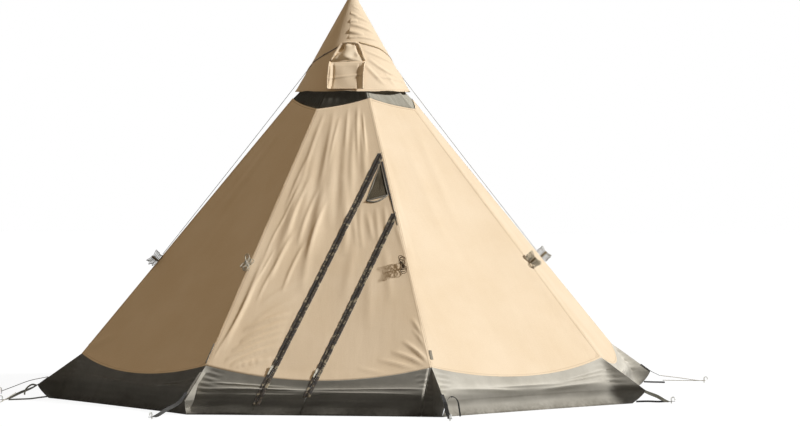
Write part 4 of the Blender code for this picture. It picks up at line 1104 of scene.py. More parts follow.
def skirts():
    # face 8 is the door's own, come to from the left
    slit = doorFacts["skirtSlit"]
    full = spread(-1, 1, 40)
    inner = np.linspace(-1, 1, 50)
    low1, high1 = zipShares("zip1")
    low2, _ = zipShares("zip2")
    skirtPiece("skirtRight", [(1, full), (2, full[1:]), (3, full[1:]), (4, full[1:])],
               "canopy", ["skirt_right"])
    skirtPiece("skirtLeft", [(5, full), (6, full[1:]), (7, full[1:]),
                             (8, full[(full > -1) & (full < low1 - 0.01)]),
                             (8, zipCut("zip1", -slit))], "canopy", ["skirt_left"])
    skirtPiece("skirtBand", [(0, zipCut("zip1", slit)),
                             (0, inner[(inner > high1 + 0.01) & (inner < low2 - 0.01)]),
                             (0, zipCut("zip2", -slit))], "door_band", ["skirt_front_band"])


skirts()


# The door's skirt ends on a cone about the hinge ridge, and the corner beyond it stays put
cornerFacts = {"rise": 0.04, "length": 0.46, "radius": 0.165, "gap": 0.0003}


def coneCutRows(inner):
    # the share across at which each row of the door's skirt meets the cone
    top = ridgePoint(1, wallRadius(tent["skirtRidge"]), tent["skirtRidge"])
    axis = (ridgePoint(1, tent["ridgeFloor"], 0.0) - top).normalized()
    point = top - axis * cornerFacts["rise"]
    gap = cornerFacts["gap"] if inner else 0
    rate = (cornerFacts["radius"] - gap) / cornerFacts["length"]

    def outside(place):
        away = Vector(place) - point
        along = away.dot(axis)
        return (away - axis * along).length - rate * along

    shares = np.linspace(0.4, 1.0, 601)
    stack, _ = skirtGrid(0, shares)
    return [next((share for share, place in zip(shares, row) if outside(place) <= 0), 1.0)
            for row in stack]


def gridBetween(face, leftRows, rightRows, cols):
    # a skirt grid whose two ends move from row to row
    count = skirtRows["slope"] + skirtRows["flap"] + 1
    places = np.zeros((count, cols, 3))
    uvs = np.zeros((count, cols, 2))
    for k in range(count):
        shares = np.linspace(leftRows[k], rightRows[k], cols)
        stack, uv = skirtGrid(face, shares)
        places[k], uvs[k] = stack[k], uv[k]
    return places, uvs


def cutRowShares(line):
    # the share across at which each row of the door's skirt meets a cut line
    slope, flap = skirtRows["slope"], skirtRows["flap"]
    seam, crease, hem = [across / half for across, half
                         in zip(cutEdges(line), (seamHalf, creaseHalf, hemHalf))]
    return ([seam + (crease - seam) * i / slope for i in range(slope + 1)]
            + [crease + (hem - crease) * i / flap for i in range(1, flap + 1)])


def doorSkirtEnd():
    zipRows = cutRowShares(zipCut("zip2", doorFacts["skirtSlit"]))
    places, uvs = gridBetween(0, zipRows, coneCutRows(False), 44)
    sewSkirt("skirtFlap", places, uvs, "door_flap", ["skirt_front_flap"])
    places, uvs = gridBetween(0, coneCutRows(True), [1.0] * len(zipRows), 14)
    sewSkirt("skirtCorner", places, uvs, "canopy", [])


doorSkirtEnd()
print("skirt hung")

# Zips: two halves of tape to each, with a row of teeth on its inner edge

tapeFacts = {"gap": 0.0012, "width": 0.020, "thickness": 0.001, "toothPitch": 0.006,
             "tooth": (0.0042, 0.0018, 0.0022), "cut": 0.021,
             "run": 1.36}    # metres of tape to a metre of height


doorSkirt, _ = skirtGrid(0, np.linspace(-1, 1, 81))


def skirtOutAt(across, height):
    # how far out the door's skirt lies there, read off its grid
    columns = [(np.interp(-height, -doorSkirt[:, k, 2], doorSkirt[:, k, 0]),
                np.interp(-height, -doorSkirt[:, k, 2], -doorSkirt[:, k, 1])) for k in range(81)]
    return float(np.interp(across, [a for a, _ in columns], [out for _, out in columns]))


def zipPlace(name, shift, height, lift):
    across = zipAcross(name, height) + shift
    if height >= seamHeight(across):
        return Vector(clothPlaces(0, across, height, lift))
    out = skirtOutAt(across, height) + lift * 1.4
    return Vector(facePlaces(0, across, out, height))


def zipHalf(piece, name, side, endHeight, body, node):
    facts = tapeFacts
    near, far = side * facts["gap"], side * (facts["gap"] + facts["width"])
    top = meetHeight(name, near) - 0.008
    topFar = meetHeight(name, far) - 0.006 if side > 0 else top
    count, cols = 150, 5
    places = np.zeros((count, cols, 3))
    uv = np.zeros((count, cols, 2))
    for i in range(count):
        for j in range(cols):
            share = j / (cols - 1)
            start = top + (topFar - top) * share
            height = endHeight + (start - endHeight) * i / (count - 1)
            shift = near + (far - near) * share
            ripple = 0.0008 * math.sin(i * 0.9 + j) * share
            places[i, j] = zipPlace(name, shift, height, 0.0018 + ripple)
            uv[i, j] = (shift, height * wallRun)
    strip = gridMesh(piece, places[:, ::side], uv[:, ::side], tape)
    row = toothRow(piece, name, side, endHeight + 0.004, top - 0.004)
    sewSheet(strip, facts["thickness"], body, [node],
             work=lambda obj: joinUp(piece, [obj, row]))


def toothRow(piece, name, side, low, high):
    length = (high - low) * wallRun
    count = int(length / tapeFacts["toothPitch"])
    wide, tall, thick = tapeFacts["tooth"]
    verts, faces = [], []
    for i in range(count):
        height = low + (high - low) * (i + (0.5 if side > 0 else 0.0)) / count
        shift = side * (tapeFacts["gap"] + 0.0006)
        base = zipPlace(name, shift, height, 0.0022)
        along = (zipPlace(name, shift, height + 0.002, 0.0022) - base).normalized()
        normal = Vector(faceNormal(0))
        across = along.cross(normal).normalized()
        faces += [tuple(len(verts) + k for k in quad) for quad in
                  ((3, 2, 1, 0), (4, 5, 6, 7), (0, 1, 5, 4), (1, 2, 6, 5), (2, 3, 7, 6),
                   (3, 0, 4, 7))]
        verts += [base + across * a * wide * pinch + along * b * tall * pinch * 1.6 + normal * lift
                  for lift, pinch in ((0.0, 1.0), (thick, 0.7))
                  for a, b in ((-0.5, -0.5), (0.5, -0.5), (0.5, 0.5), (-0.5, 0.5))]
    mesh = bpy.data.meshes.new(piece + "Teeth")
    mesh.from_pydata([tuple(v) for v in verts], [], faces)
    mesh.uv_layers.new(name="cloth")
    editMesh(mesh, faceOut)
    return newObject(piece + "Teeth", mesh, teeth)


zipHalf("zipOneTapeLeft", "zip1", -1, 0.054, "canopy", "zip_1_tape_left")
zipHalf("zipOneTapeRight", "zip1", 1, 0.054, "door_band", "zip_1_tape_right")
zipHalf("zipTwoTapeLeft", "zip2", -1, 0.096, "door_band", "zip_2_tape_left")
zipHalf("zipTwoTapeRight", "zip2", 1, 0.096, "door_flap", "zip_2_tape_right")
print("zips sewn in")

# Netting from the walls' top up to the pole, inside the cap

netBand = {"topRadius": 0.050, "topHeight": 2.078, "cols": 25, "rows": 26, "inside": 0.003,
           "thickness": 0.0006, "flat": (2.5, 0.47)}


def ventNetting(facts):
    parts = []
    for face in range(8):
        share = np.linspace(-1, 1, facts["cols"])
        low = ventHeight(face, share) - 0.004
        footOut, topOut = wallOut(low) - facts["inside"], facts["topRadius"] * cosHalf
        foot = facePlaces(face, share * footOut * tanHalf, footOut, low)
        head = facePlaces(face, share * topOut * tanHalf, np.full_like(share, topOut),
                          np.full_like(share, facts["topHeight"]))
        t = np.linspace(0, 1, facts["rows"])[:, None, None]
        places = foot[None] + (head - foot)[None] * t
        # the netting hangs a little slack between the ridges
        sag = np.sin(math.pi * t[..., 0])
        slack = 0.012 * sag * (1 - share ** 2)[None]
        slack = slack + 0.002 * np.sin(21 * share[None] + 6 * t[..., 0] + face) * sag
        angle = face * sector
        places[..., 0] -= slack * math.sin(angle)
        places[..., 1] += slack * math.cos(angle)
        uv = np.stack([share[None] * 0.15 * (1 - t[..., 0] * 0.8) + face * 0.4,
                       0.45 * t[..., 0] + 0 * share[None]], axis=-1)
        parts.append(gridMesh(f"net{face}", places, uv, netting))
    sewSheet(weldUp(joinUp("ventNetting", parts)), facts["thickness"], "canopy",
             ["vent_net"])


ventNetting(netBand)

# Storm cap: eight gores, puckered where the cords pull at its side seams

capPleats = [   # from degrees and height to degrees and height, width, rise, bow
    (-36, 2.176, 34, 2.150, 0.016, 0.012, -0.014), (-2, 2.216, 70, 2.160, 0.012, 0.009, -0.012),
    (-34, 2.216, 24, 2.236, 0.012, 0.009, -0.010), (14, 2.262, 72, 2.222, 0.010, 0.005, -0.006),
    (-20, 2.292, 34, 2.262, 0.009, 0.005, -0.004), (4, 2.330, 50, 2.302, 0.007, 0.003, 0.0),
    (-46, 2.124, 16, 2.136, 0.009, 0.010, -0.006), (8, 2.140, 74, 2.112, 0.009, 0.007, -0.006),
    (30, 2.096, 98, 2.050, 0.010, 0.005, -0.008), (-60, 2.150, -24, 2.176, 0.010, 0.004, 0.0),
    (-66, 2.056, -30, 2.026, 0.011, 0.005, 0.0), (30, 2.262, 90, 2.206, 0.008, 0.003, -0.006),
    (26, 2.060, 92, 1.965, 0.009, 0.007, 0.004), (30, 2.010, 62, 1.905, 0.010, 0.009, 0.004),
    (24, 1.975, 44, 1.845, 0.009, 0.009, 0.0), (40, 1.960, 96, 1.850, 0.012, 0.007, 0.004),
    (34, 1.900, 84, 1.866, 0.010, 0.007, -0.004), (50, 1.930, 58, 1.835, 0.009, 0.006, 0.0),
    (-26, 1.980, -44, 1.850, 0.010, 0.008, 0.004), (-36, 1.930, -22, 1.846, 0.009, 0.006, 0.0),
    (-68, 1.984, -40, 1.900, 0.012, 0.007, 0.004), (-68, 1.984, -54, 1.850, 0.011, 0.006, 0.0),
    (113, 1.978, 88, 1.860, 0.011, 0.006, 0.0), (113, 1.978, 134, 1.860, 0.012, 0.006, 0.0),
    (113, 1.978, 160, 2.080, 0.012, 0.005, 0.0), (160, 2.10, 240, 2.00, 0.014, 0.005, 0.0),
    (150, 1.95, 235, 2.05, 0.013, 0.005, 0.0), (200, 2.20, 280, 2.10, 0.010, 0.004, 0.0),
    (190, 1.90, 250, 1.86, 0.014, 0.005, 0.0), (262, 1.90, 292, 1.99, 0.012, 0.005, 0.0)]
capForm = {"roundness": 0.96, "cols": 240, "rows": 130, "thickness": 0.0012,
           "flat": (1.02, 0.86), "cutDepth": (-0.34, -0.06)}
turnRun = 0.2     # metres along the cap for a radian round it, at which folds are measured
capFolds = [(math.radians(startTurn + wrap) * turnRun, startUp,
             math.radians(endTurn + wrap) * turnRun, endUp, width, rise, bow)
            for startTurn, startUp, endTurn, endUp, width, rise, bow in capPleats
            for wrap in (-360, 0)]


def capRadiusAt(angle, height):
    # angle in radians from the door's side, anticlockwise seen from above
    gore = (angle / sector + 0.5) % 1.0 - 0.5
    full = capRadius(height)
    flat = full * cosHalf / np.cos(gore * sector)
    radius = flat + (full - flat) * capForm["roundness"]
    rise = foldRise(angle * turnRun, height, capFolds)
    fadeUp = np.clip((capFacts["shoulderHeight"] - height) / 0.06, 0, 1)
    above = height - capFacts["hemHeight"]
    # the hem droops outwards in slow waves
    wave = 0.004 * np.sin(angle * 8 + 0.6) * np.clip(1 - above / 0.12, 0, 1)
    return radius + rise * fadeUp * (0.35 + 0.65 * np.clip(above / 0.05, 0, 1)) + wave


def capPlaces(angle, height, lift=0.0):
    radius = capRadiusAt(angle, height) + lift * capRun
    return np.stack([radius * np.sin(angle), -radius * np.cos(angle), height], axis=-1)


def capAngleFor(x, height, lift=0.0):
    angle = np.arcsin(np.asarray(x) / capRadius(height))
    for _ in range(6):
        angle = angle + (x - capPlaces(angle, height, lift)[..., 0]) / capRadius(height)
    return angle


archLine = [(-0.1035, 1.9950), (-0.0925, 2.0150), (-0.0790, 2.0400), (-0.0660, 2.0650),
            (-0.0540, 2.0860), (-0.0400, 2.0985), (-0.0200, 2.1035), (0.0100, 2.1045),
            (0.0360, 2.1030), (0.0540, 2.0960), (0.0660, 2.0800), (0.0770, 2.0560),
            (0.0860, 2.0330), (0.0930, 2.0130), (0.1035, 1.9950)]


def archPath(steps, lift=0.0):
    # the arch's edge on the cap, as places
    line = np.array(archLine)
    along = np.linspace(0, len(line) - 1, (len(line) - 1) * steps + 1)
    x = np.interp(along, range(len(line)), line[:, 0])
    z = np.interp(along, range(len(line)), line[:, 1])
    return [Vector(place) for place in capPlaces(capAngleFor(x, z, lift), z, lift)]


def stormCap(facts):
    turns = np.linspace(0, 2 * math.pi, facts["cols"], endpoint=False)
    hem, shoulder = capFacts["hemHeight"], capFacts["shoulderHeight"]
    heights = between(np.float64(hem), np.float64(shoulder), facts["rows"], True, False)
    angles, heights = np.meshgrid(turns, heights)
    # the hem dips between the ridges
    gore = (angles / sector + 0.5) % 1.0 - 0.5
    dip = 0.004 * np.cos(gore * 2 * math.pi) * np.clip(1 - (heights - hem) / 0.05, 0, 1)
    heights = heights + np.maximum(dip, 0)
    places = capPlaces(angles, heights, hemLift * (heights - hem < hemWidth))
    point = np.array([np.stack([radius * np.sin(turns), -radius * np.cos(turns),
                                np.full(facts["cols"], height)], axis=-1)
                      for radius, height in ((0.016, capFacts["top"] - 0.012),
                                             (0.0005, capFacts["top"]))])
    heights = np.concatenate([heights, point[..., 2]])
    angles = np.concatenate([angles, angles[:2]])
    uv = np.stack([angles * turnRun, heights * capRun], axis=-1)
    obj = gridMesh("stormCap", np.concatenate([places, point]), uv, canvas,
                   (heights - hem) * capRun, closed=True)
    arch = archLine + [(0.0, 1.9885)]
    rings = [[(x, depth, z) for x, z in arch] for depth in facts["cutDepth"]]
    sewSheet(obj, facts["thickness"], "canopy", ["cap"],
             smooth=40, work=lambda cap: cutThrough(cap, rings))


def capStay(name, route, finish):
    # a narrow tape sewn from the arch to the tab that a cap cord ties to
    share, knots = np.linspace(0, 1, 40), np.linspace(0, 1, len(route))
    turns = np.interp(share, knots, [math.radians(a) for a, _ in route])
    heights = np.interp(share, knots, [z for _, z in route])
    layTape(name, lambda edge, lift: capPlaces(turns, heights + edge, lift),
            (-0.0040, 0.0, 0.0040), (0.0004, 0.0022), share * 0.25, 0.02, finish,
            "canopy")


stormCap(capForm)
# the left stay's tape is painted dark as shade, where the right stay has the same tape in its plain
# pale colour
shadedSeamTape = webbing("seamTapeWithPaintedShade", "#6B5436", "#4A3822")
paleTape = webbing("canvasSeamTape", "#C9AC82", "#A98C63")
capStay("capStayLeft", [(-17, 2.082), (-30, 2.055), (-67.5, 1.986)], shadedSeamTape)
capStay("capStayRight", [(20, 2.104), (60, 2.070), (112.5, 1.980)], paleTape)
print("cap sewn")


# Smoke hatch: piping round the arch, crumpled cloth in it and an oblong flap below.
# Its lining is thinner, paler cotton, not proofed.
gatherFacts = dict(canvasFacts, color="#F0DFC4", shade="#E6D2B2", pitch=0.003)
gatherCloth = canvasCloth(gatherFacts, "cottonLining", seams=False)
hatchForm = {"rows": 44, "cols": 64, "low": 1.9895, "high": 2.1040, "thickness": 0.0008,
             "flat": (0.24, 0.26), "piping": 0.0070}


def smokeHatch(facts):
    piping = tubeMesh("hatchPiping", archPath(4, 0.0046), facts["piping"], capCanvas, 10, 0.18, 4)
    dress(piping, "canopy")
    line = np.array(archLine)
    leftSide, rightSide = line[:8], line[7:][::-1]
    u, v = np.meshgrid(np.linspace(0, 1, facts["cols"]), np.linspace(0, 1, facts["rows"]))
    z = facts["low"] + (facts["high"] - facts["low"]) * v
    left = np.interp(z, leftSide[:, 1], leftSide[:, 0])
    right = np.interp(z, rightSide[:, 1], rightSide[:, 0])
    x = left + (right - left) * u
    rim = np.minimum(1, 6 * np.minimum(u, 1 - u)) * np.minimum(1, 5 * np.minimum(v, 1 - v))
    crumple = (np.sin(11 * u + 5 * v + 1.6 * np.sin(5 * v)) + 0.7 * np.sin(9 * v - 7 * u + 1.3)
               + 0.4 * np.sin(23 * u - 9 * v + 2 * np.sin(6 * u)))
    corner = np.exp(-((u - 0.14) / 0.12) ** 2 - ((v - 0.72) / 0.18) ** 2)
    corner = corner + np.exp(-((u - 0.92) / 0.09) ** 2 - ((v - 0.60) / 0.26) ** 2)
    depth = rim * (0.010 + 0.0056 * crumple) - 0.036 * corner * rim - 0.0015
    places = capPlaces(capAngleFor(x, z), z, depth)
    uv = np.stack([x, z], axis=-1)
    sewSheet(gridMesh("hatchGather", places, uv, gatherCloth), facts["thickness"], "canopy",
             ["hatch_gather"])


smokeHatch(hatchForm)

coverFacts = {"half": 0.1049, "top": 1.9842, "bottom": 1.8255, "cols": 40, "rows": 48,
              "thickness": 0.0012, "flat": (0.235, 0.195), "piping": 0.0050, "roll": 0.0056,
              "hem": 0.0018}


def hatchFlap(facts):
    rows, cols = facts["rows"], facts["cols"]
    u, v = np.meshgrid(np.linspace(-1, 1, cols), np.linspace(0, 1, rows))
    height = facts["bottom"] + (facts["top"] - facts["bottom"]) * v
    across = u * facts["half"] * (1 - 0.03 * np.sin(math.pi * v))
    # it hangs level from its hinge seam, stands off at the left and curls at the right
    out = capRadius(height) + 0.0016 * capRun
    curl = 0.012 * np.clip((u - 0.78) / 0.22, 0, 1) ** 2 + 0.010 * np.clip((-u - 0.82) / 0.18, 0, 1)
    crease = 0.0035 * np.exp(-((height - 1.900 - 0.012 * u) / 0.007) ** 2)
    slack = 0.0035 * np.sin(4 * u + 3 * v + 0.8) * np.sin(math.pi * v)
    groove = -0.007 * np.exp(-((u + 0.84 - 0.06 * np.sin(math.pi * v)) / 0.06) ** 2)
    groove = groove - 0.005 * np.exp(-((u - 0.70) / 0.05) ** 2)
    out = out + (curl + crease + slack + groove + 0.008) * np.minimum(1, (1 - v) * 8)
    places = np.stack([across, -out, height], axis=-1)
    uv = np.stack([across, height * capRun], axis=-1)
    obj = gridMesh("hatchFlap", places, uv, capCanvas)
    right = [Vector(place) + Vector((0.001, -0.001, 0)) for place in places[:, -1]]
    left = [Vector(place) + Vector((-0.002 - 0.007 * math.sin(math.pi * i / (rows - 1)), -0.003, 0))
            for i, place in enumerate(places[:, 0])]
    hem = [Vector(place) for place in places[0]]
    trims = [tubeMesh("flapPiping", right, facts["piping"], capCanvas, rough=0.16, seed=7),
             tubeMesh("flapRoll", left, facts["roll"], capCanvas, rough=0.20, seed=9),
             tubeMesh("flapHem", hem, facts["hem"], capCanvas)]
    sewSheet(obj, facts["thickness"], "hatch_cover", ["hatch_cover"],
             work=lambda flap: joinUp("hatchFlap", [flap, *trims]))


hatchFlap(coverFacts)
print("hatch sewn")

# Ribbons: webbing along a path


def ribbonMesh(name, path, sides, width, thickness, finish, twist=None):
    # eight corners to each station, with the flat side facing up from the path
    count = len(path)
    rings = np.zeros((count, 8, 3))
    uv = np.zeros((count, 8, 2))
    run = 0.0
    for i, place in enumerate(path):
        ahead = path[min(i + 1, count - 1)] - path[max(i - 1, 0)]
        side = sides[i] if isinstance(sides, list) else sides
        normal = ahead.normalized().cross(side).normalized()
        if normal.z < 0 and not isinstance(sides, list):
            normal = -normal
        side = normal.cross(ahead.normalized()).normalized()
        if twist:
            turn = Matrix.Rotation(math.radians(twist[i]), 3, ahead.normalized())
            side, normal = turn @ side, turn @ normal
        half, bevel = width / 2, thickness * 0.35
        if i:
            run += (place - path[i - 1]).length
        corners = [(-half + bevel, 0), (half - bevel, 0), (half, bevel), (half, thickness - bevel),
                   (half - bevel, thickness), (-half + bevel, thickness),
                   (-half, thickness - bevel), (-half, bevel)]
        for k, (a, b) in enumerate(corners):
            rings[i, k] = place + side * a + normal * b
            uv[i, k] = (a, run)
    obj = gridMesh(name, rings, uv, finish, closed=True)
    editMesh(obj.data, fillHoles, faceOut)
    smoothBy(obj, 40)
    return obj


strapFacts = {"width": 0.020, "thickness": 0.0016, "sewn": 0.075, "end": 0.022,
              "pegHeight": 0.012, "hole": 0.0046}
# radius of each peg, and degrees past its ridge
pegPlaces = [(2.187, -0.4), (2.093, -0.7), (2.060, 3.0), (2.280, 0.0),
             (2.150, 0.0), (2.150, 0.0), (2.150, 0.0), (2.172, 5.0)]
strapFinish = [darkWebbing, darkWebbing, oliveWebbing, darkWebbing,
               darkWebbing, oliveWebbing, darkWebbing, oliveWebbing]


def strapFrame(ridge):
    seam = ridgePoint(ridge, wallRadius(tent["skirtRidge"]), tent["skirtRidge"])
    corner = ridgePoint(ridge, tent["creaseRidge"], tent["crease"])
    down = (corner - seam).normalized()
    side = down.cross(up).normalized()
    lift = side.cross(down).normalized()
    if lift.z < 0:
        lift = -lift
    return corner, down, side, lift


def pegStrap(ridge):
    facts = strapFacts
    corner, down, side, lift = strapFrame(ridge)
    seat = lift * 0.0016
    radius, turn = pegPlaces[ridge]
    peg = ridgePoint(ridge, radius, facts["pegHeight"], turn)
    run = peg - corner
    run.z = 0
    run.normalize()
    sewn = [corner - down * facts["sewn"] + seat, corner - down * facts["sewn"] * 0.5 + seat,
            corner + seat]
    if ridge == 3:
        # this one ends at the doubled cord, which is pegged for both
        route = sewn + [ridgePoint(ridge, 1.984, 0.050)]
    else:
        bend = corner + seat + ridgePoint(ridge, 1, 0) * 0.006 - up * 0.0016
        middle = bend.lerp(peg, 0.5) - up * 0.004
        route = sewn + [middle, peg - run * facts["end"], peg + run * facts["end"]]
    path = smoothRoute(route, 44)
    # past the corner the webbing turns half on edge, and lies flat again at the peg
    lean = {0: -58, 3: 0}.get(ridge, 58)
    twist = [lean * math.sin(math.pi * min(1, max(0, (i / 43 - 0.34) / 0.52))) for i in range(44)]
    obj = ribbonMesh(f"strap_{ridgeNames[ridge]}_webbing", path, side, facts["width"],
                     facts["thickness"], strapFinish[ridge], twist)
    if ridge != 3:
        hole = facts["hole"]
        ring = [(peg.x + hole * math.cos(a * math.pi / 6), peg.y + hole * math.sin(a * math.pi / 6))
                for a in range(12)]
        cutThrough(obj, [[(x, y, z) for x, y in ring] for z in (0.0, 0.04)])
    dress(obj, "canopy", [f"strap_{ridgeNames[ridge]}"])


for eachRidge in range(8):
    pegStrap(eachRidge)
print("straps sewn")

# Loose ends and loops of webbing at the corners, from radius, degrees past the ridge and height
webEnds = [
    # name, ridge, width, degrees on edge, finish and stations
    ("loopFrontRight", 1, 0.012, 60, darkWebbing,
     [(1.935, 0.2, 0.098), (1.945, 0.7, 0.118), (1.945, 1.4, 0.113), (1.935, 2.0, 0.090),
      (1.925, 2.3, 0.056), (1.92, 2.5, 0.026), (1.92, 2.6, 0.007)]),
    ("tailFrontRight", 1, 0.016, 60, darkWebbing,
     [(1.93, -0.1, 0.085), (1.95, -0.2, 0.055), (1.965, -0.1, 0.025), (1.97, 0.2, 0.006)]),
    ("loopLeftFront", 7, 0.012, 62, oliveWebbing,
     [(1.935, 1.0, 0.078), (1.972, 2.0, 0.086), (2.000, 2.5, 0.073), (2.018, 3.0, 0.055),
      (2.026, 3.4, 0.033)]),
    ("lowerLeftFront", 7, 0.012, 50, oliveWebbing,
     [(1.868, 0.6, 0.010), (1.925, 1.6, 0.008), (1.985, 2.8, 0.006), (2.040, 3.8, 0.008),
      (2.130, 4.6, 0.010)]),
    ("lowerRightFront", 2, 0.012, 55, darkWebbing,
     [(1.875, 0.6, 0.010), (1.940, 1.4, 0.012), (1.995, 2.2, 0.010), (2.035, 2.7, 0.012)]),
    ("lowerRightBack", 3, 0.012, 55, darkWebbing,
     [(1.880, 0.2, 0.014), (1.940, 0.4, 0.010), (1.985, 0.5, 0.008), (2.025, 0.6, 0.006)]),
    ("tailFrontLeft", 0, 0.010, 50, paleWebbing,
     [(1.905, 0.3, 0.086), (1.915, 0.9, 0.070), (1.905, 1.3, 0.045), (1.900, 1.4, 0.020)]),
]


def webEnd(name, ridge, width, turn, finish, stations):
    route = [ridgePoint(ridge, radius, height, degrees) for radius, degrees, height in stations]
    path = smoothRoute(route, 30)
    side = ridgePoint(ridge, 1, 0).cross(up)
    obj = ribbonMesh(name, path, side, width, 0.0016, finish, [turn] * 30)
    dress(obj, "canopy")


for webEndFacts in webEnds:
    webEnd(*webEndFacts)

# Short tabs just above the skirt: face, ridge, from and to beside the ridge, from and to in height
tabFacts = [(1, 1, 0.004, 0.024, 0.300, 0.348, greyWebbing),
            (7, 0, 0.003, 0.011, 0.270, 0.375, paleWebbing)]


def ridgeTab(face, ridge, start, end, low, high, finish):
    # beside the ridge, on its left end of the face unless the ridge is the face's right one
    sign = -1 if ridge == face else 1
    heights = np.linspace(low, high, 12)
    half = wallOut(heights) * tanHalf
    layTape(f"tab_{ridgeNames[ridge]}",
            lambda edge, lift: clothPlaces(face, sign * (half - edge), heights, lift),
            np.linspace(start, end, 4), (0.0012, 0.0030), heights, 0.04, finish,
            "canopy")


for eachTab in tabFacts:
    ridgeTab(*eachTab)


def ridgeWebbing():
    # pale webbing along the front left ridge
    seam = ridgePoint(0, wallRadius(tent["skirtRidge"]), tent["skirtRidge"])
    corner = ridgePoint(0, skirtPull["radii"][0], tent["crease"])
    _, _, side, lift = strapFrame(0)
    path = [seam.lerp(corner, 0.22 + 0.66 * i / 12) + lift * 0.0070 for i in range(13)]
    obj = ribbonMesh("ridgeWebbingFrontLeft", path, side, 0.012, 0.0014, paleWebbing)
    dress(obj, "canopy")


ridgeWebbing()
print("webbing sewn")

# Hanks: guy cord laid up in figures of eight and held at the waist by a tie
hankForm = {"loops": 5, "steps": 30, "layer": 0.0043, "reach": 0.048, "wide": 0.017,
            "tieWidth": 0.010, "tieThickness": 0.0008}
hankFinish = [paleCord, brownCord, blackCord, oliveCord, oliveCord, brownCord, oliveCord, oliveCord]


def hankRoute(ridge, lift):
    facts = hankForm
    centre, down, across, outward = hankFrame(ridge)
    centre = centre + outward * lift
    dice = random.Random(40 + ridge)
    points = []
    lobes = 2 * facts["loops"]
    for lobe in range(lobes):
        head = 1 if lobe % 2 == 0 else -1
        reach = facts["reach"] * dice.uniform(0.78, 1.08)
        wide = facts["wide"] * dice.uniform(0.70, 1.15)
        lean = dice.uniform(-0.16, 0.16)
        for i in range(facts["steps"]):
            turn = math.pi * i / facts["steps"]
            rise, aside = reach * math.sin(turn), -wide * math.sin(2 * turn)
            depth = facts["layer"] * (lobe + turn / math.pi)
            # the upper layers fan out from the tent
            fan = 0.10 * depth / facts["layer"] * math.sin(turn) ** 2 * 0.012
            points.append(centre - down * rise * head + across * (aside + lean * rise)
                          + outward * (depth + fan))
    points.append(centre + outward * facts["layer"] * lobes)
    return points, centre, down, across, outward


def hank(ridge):
    points, centre, down, across, outward = hankRoute(ridge, 0.007 if ridge == 1 else 0.0)
    name = f"hank_{ridgeNames[ridge]}_coil"
    obj = tubeMesh(name, points, hankFacts["cord"] / 2, hankFinish[ridge])
    body = "door_flap" if ridge == 1 else "canopy"
    layCord(obj, body, f"hank_{ridgeNames[ridge]}", points, hankFacts["cord"], "bare", "coiled",
            path=[tuple(p) for p in points])
    # a tie round the waist
    deep = hankForm["layer"] * 2 * hankForm["loops"]
    loop, sides = [], []
    for i in range(25):
        angle = 2 * math.pi * i / 24
        wide = math.copysign(abs(math.cos(angle)) ** 0.6, math.cos(angle)) * 0.0075
        tall = math.copysign(abs(math.sin(angle)) ** 0.6, math.sin(angle)) * (deep / 2 + 0.0032)
        loop.append(centre + across * wide + outward * (tall + deep / 2 + 0.0008))
        sides.append(down)
    tie = ribbonMesh(f"hank_{ridgeNames[ridge]}_tie", loop, sides, hankForm["tieWidth"],
                     hankForm["tieThickness"], paleWebbing if ridge == 0 else tanWebbing)
    dress(tie, body)


for eachRidge in range(8):
    hank(eachRidge)
print("hanks tied")

# CAD pieces that keep their shape


def paint(finish, nodes):
    for node in nodes:
        for holder in frame["nodes"][node].material_slots:
            holder.material = finish


paint(steel, [f"peg_{name}" for name in ridgeNames] + ["guy_peg"])
paint(alloy, ["pole_lower", "pole_upper", "pole_tip"])
paint(rubber, ["pole_foot", "pole_lock_collar"])
paint(zinc, ["zip_1_slider", "zip_2_slider"])

# Floor, world and lamps

stageFacts = {"floorSize": 60, "glow": 0.92, "albedo": 0.12, "fill": 0.026,
              "sun": 3.6, "sunTurn": 80, "sunRise": 30, "sunWidth": 5,
              "through": 0.83, "throughTurn": -60, "throughWidth": 160}


def seenRays(tree):
    # 1 for the camera, mirrors and glass, which see the pale backdrop, and 0 for the rest
    seen = addNode(tree, "LightPath", output="Is Camera Ray")
    for ray in ("Is Glossy Ray", "Is Transmission Ray"):
        other = addNode(tree, "LightPath", output=ray)
        seen = addNode(tree, "Math", {"operation": "MAXIMUM", 0: seen, 1: other})
    return seen


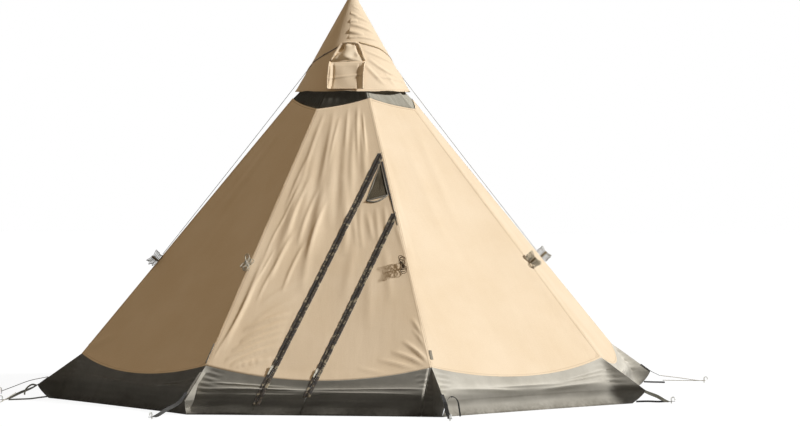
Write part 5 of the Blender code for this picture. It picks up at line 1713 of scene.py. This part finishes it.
def addFloor(facts):
    bpy.ops.object.select_all(action="DESELECT")
    bpy.ops.mesh.primitive_plane_add(size=facts["floorSize"])
    floor = bpy.context.active_object
    floor.name = "floor"
    made, tree, shader = newMaterial("palePaperFloor",
                                     {"Roughness": 0.9, "Specular IOR Level": 0.1,
                                      "Base Color": (facts["albedo"],) * 3 + (1,),
                                      "Emission Color": (1, 1, 1, 1)})
    glow = addNode(tree, "Math", {"operation": "MULTIPLY", 0: seenRays(tree), 1: facts["glow"]})
    tree.links.new(glow, shader.inputs["Emission Strength"])
    floor.data.materials.append(made)


def addWorld(facts):
    world = bpy.data.worlds.new("studio")
    bpy.context.scene.world = world
    world.use_nodes = True
    tree = world.node_tree
    background = tree.nodes["Background"]
    color = addNode(tree, "Mix", {"data_type": "RGBA", 0: seenRays(tree),
                                  6: hexColor("#FFE3BE"), 7: (1, 1, 1, 1)}, 2)
    tree.links.new(color, background.inputs["Color"])
    strength = addNode(tree, "MapRange", {"Value": seenRays(tree), "To Min": facts["fill"],
                                          "To Max": 1.0})
    tree.links.new(strength, background.inputs["Strength"])


def addLamp(name, energy, turn, rise, width, color):
    data = bpy.data.lights.new(name, "SUN")
    data.energy = energy
    data.color = color
    data.angle = math.radians(width)
    lamp = addObject(name, data)
    turn, rise = math.radians(turn), math.radians(rise)
    toward = Vector((math.sin(turn) * math.cos(rise), -math.cos(turn) * math.cos(rise),
                     math.sin(rise)))
    lamp.rotation_euler = toward.to_track_quat("Z", "Y").to_euler()
    return lamp


def addCanvasGlow(facts):
    # sunlight comes through the canvas and warms it: a soft lamp for the canvas alone
    lamp = addLamp("throughLight", facts["through"], facts["throughTurn"], facts["sunRise"],
                   facts["throughWidth"], hexColor("#FFE1B8")[:3])
    lit = bpy.data.collections.new("canvasPieces")
    for obj in bpy.data.objects:
        finishes = [slot.material for slot in obj.material_slots]
        if any(finish in (canvas, capCanvas, gatherCloth) for finish in finishes):
            lit.objects.link(obj)
    lamp.light_linking.receiver_collection = lit


addFloor(stageFacts)
addWorld(stageFacts)
addLamp("sun", *(stageFacts[key] for key in ("sun", "sunTurn", "sunRise", "sunWidth")), (1, 1, 1))
addCanvasGlow(stageFacts)
bpy.context.scene.view_settings.view_transform = "Standard"
print("stage set")
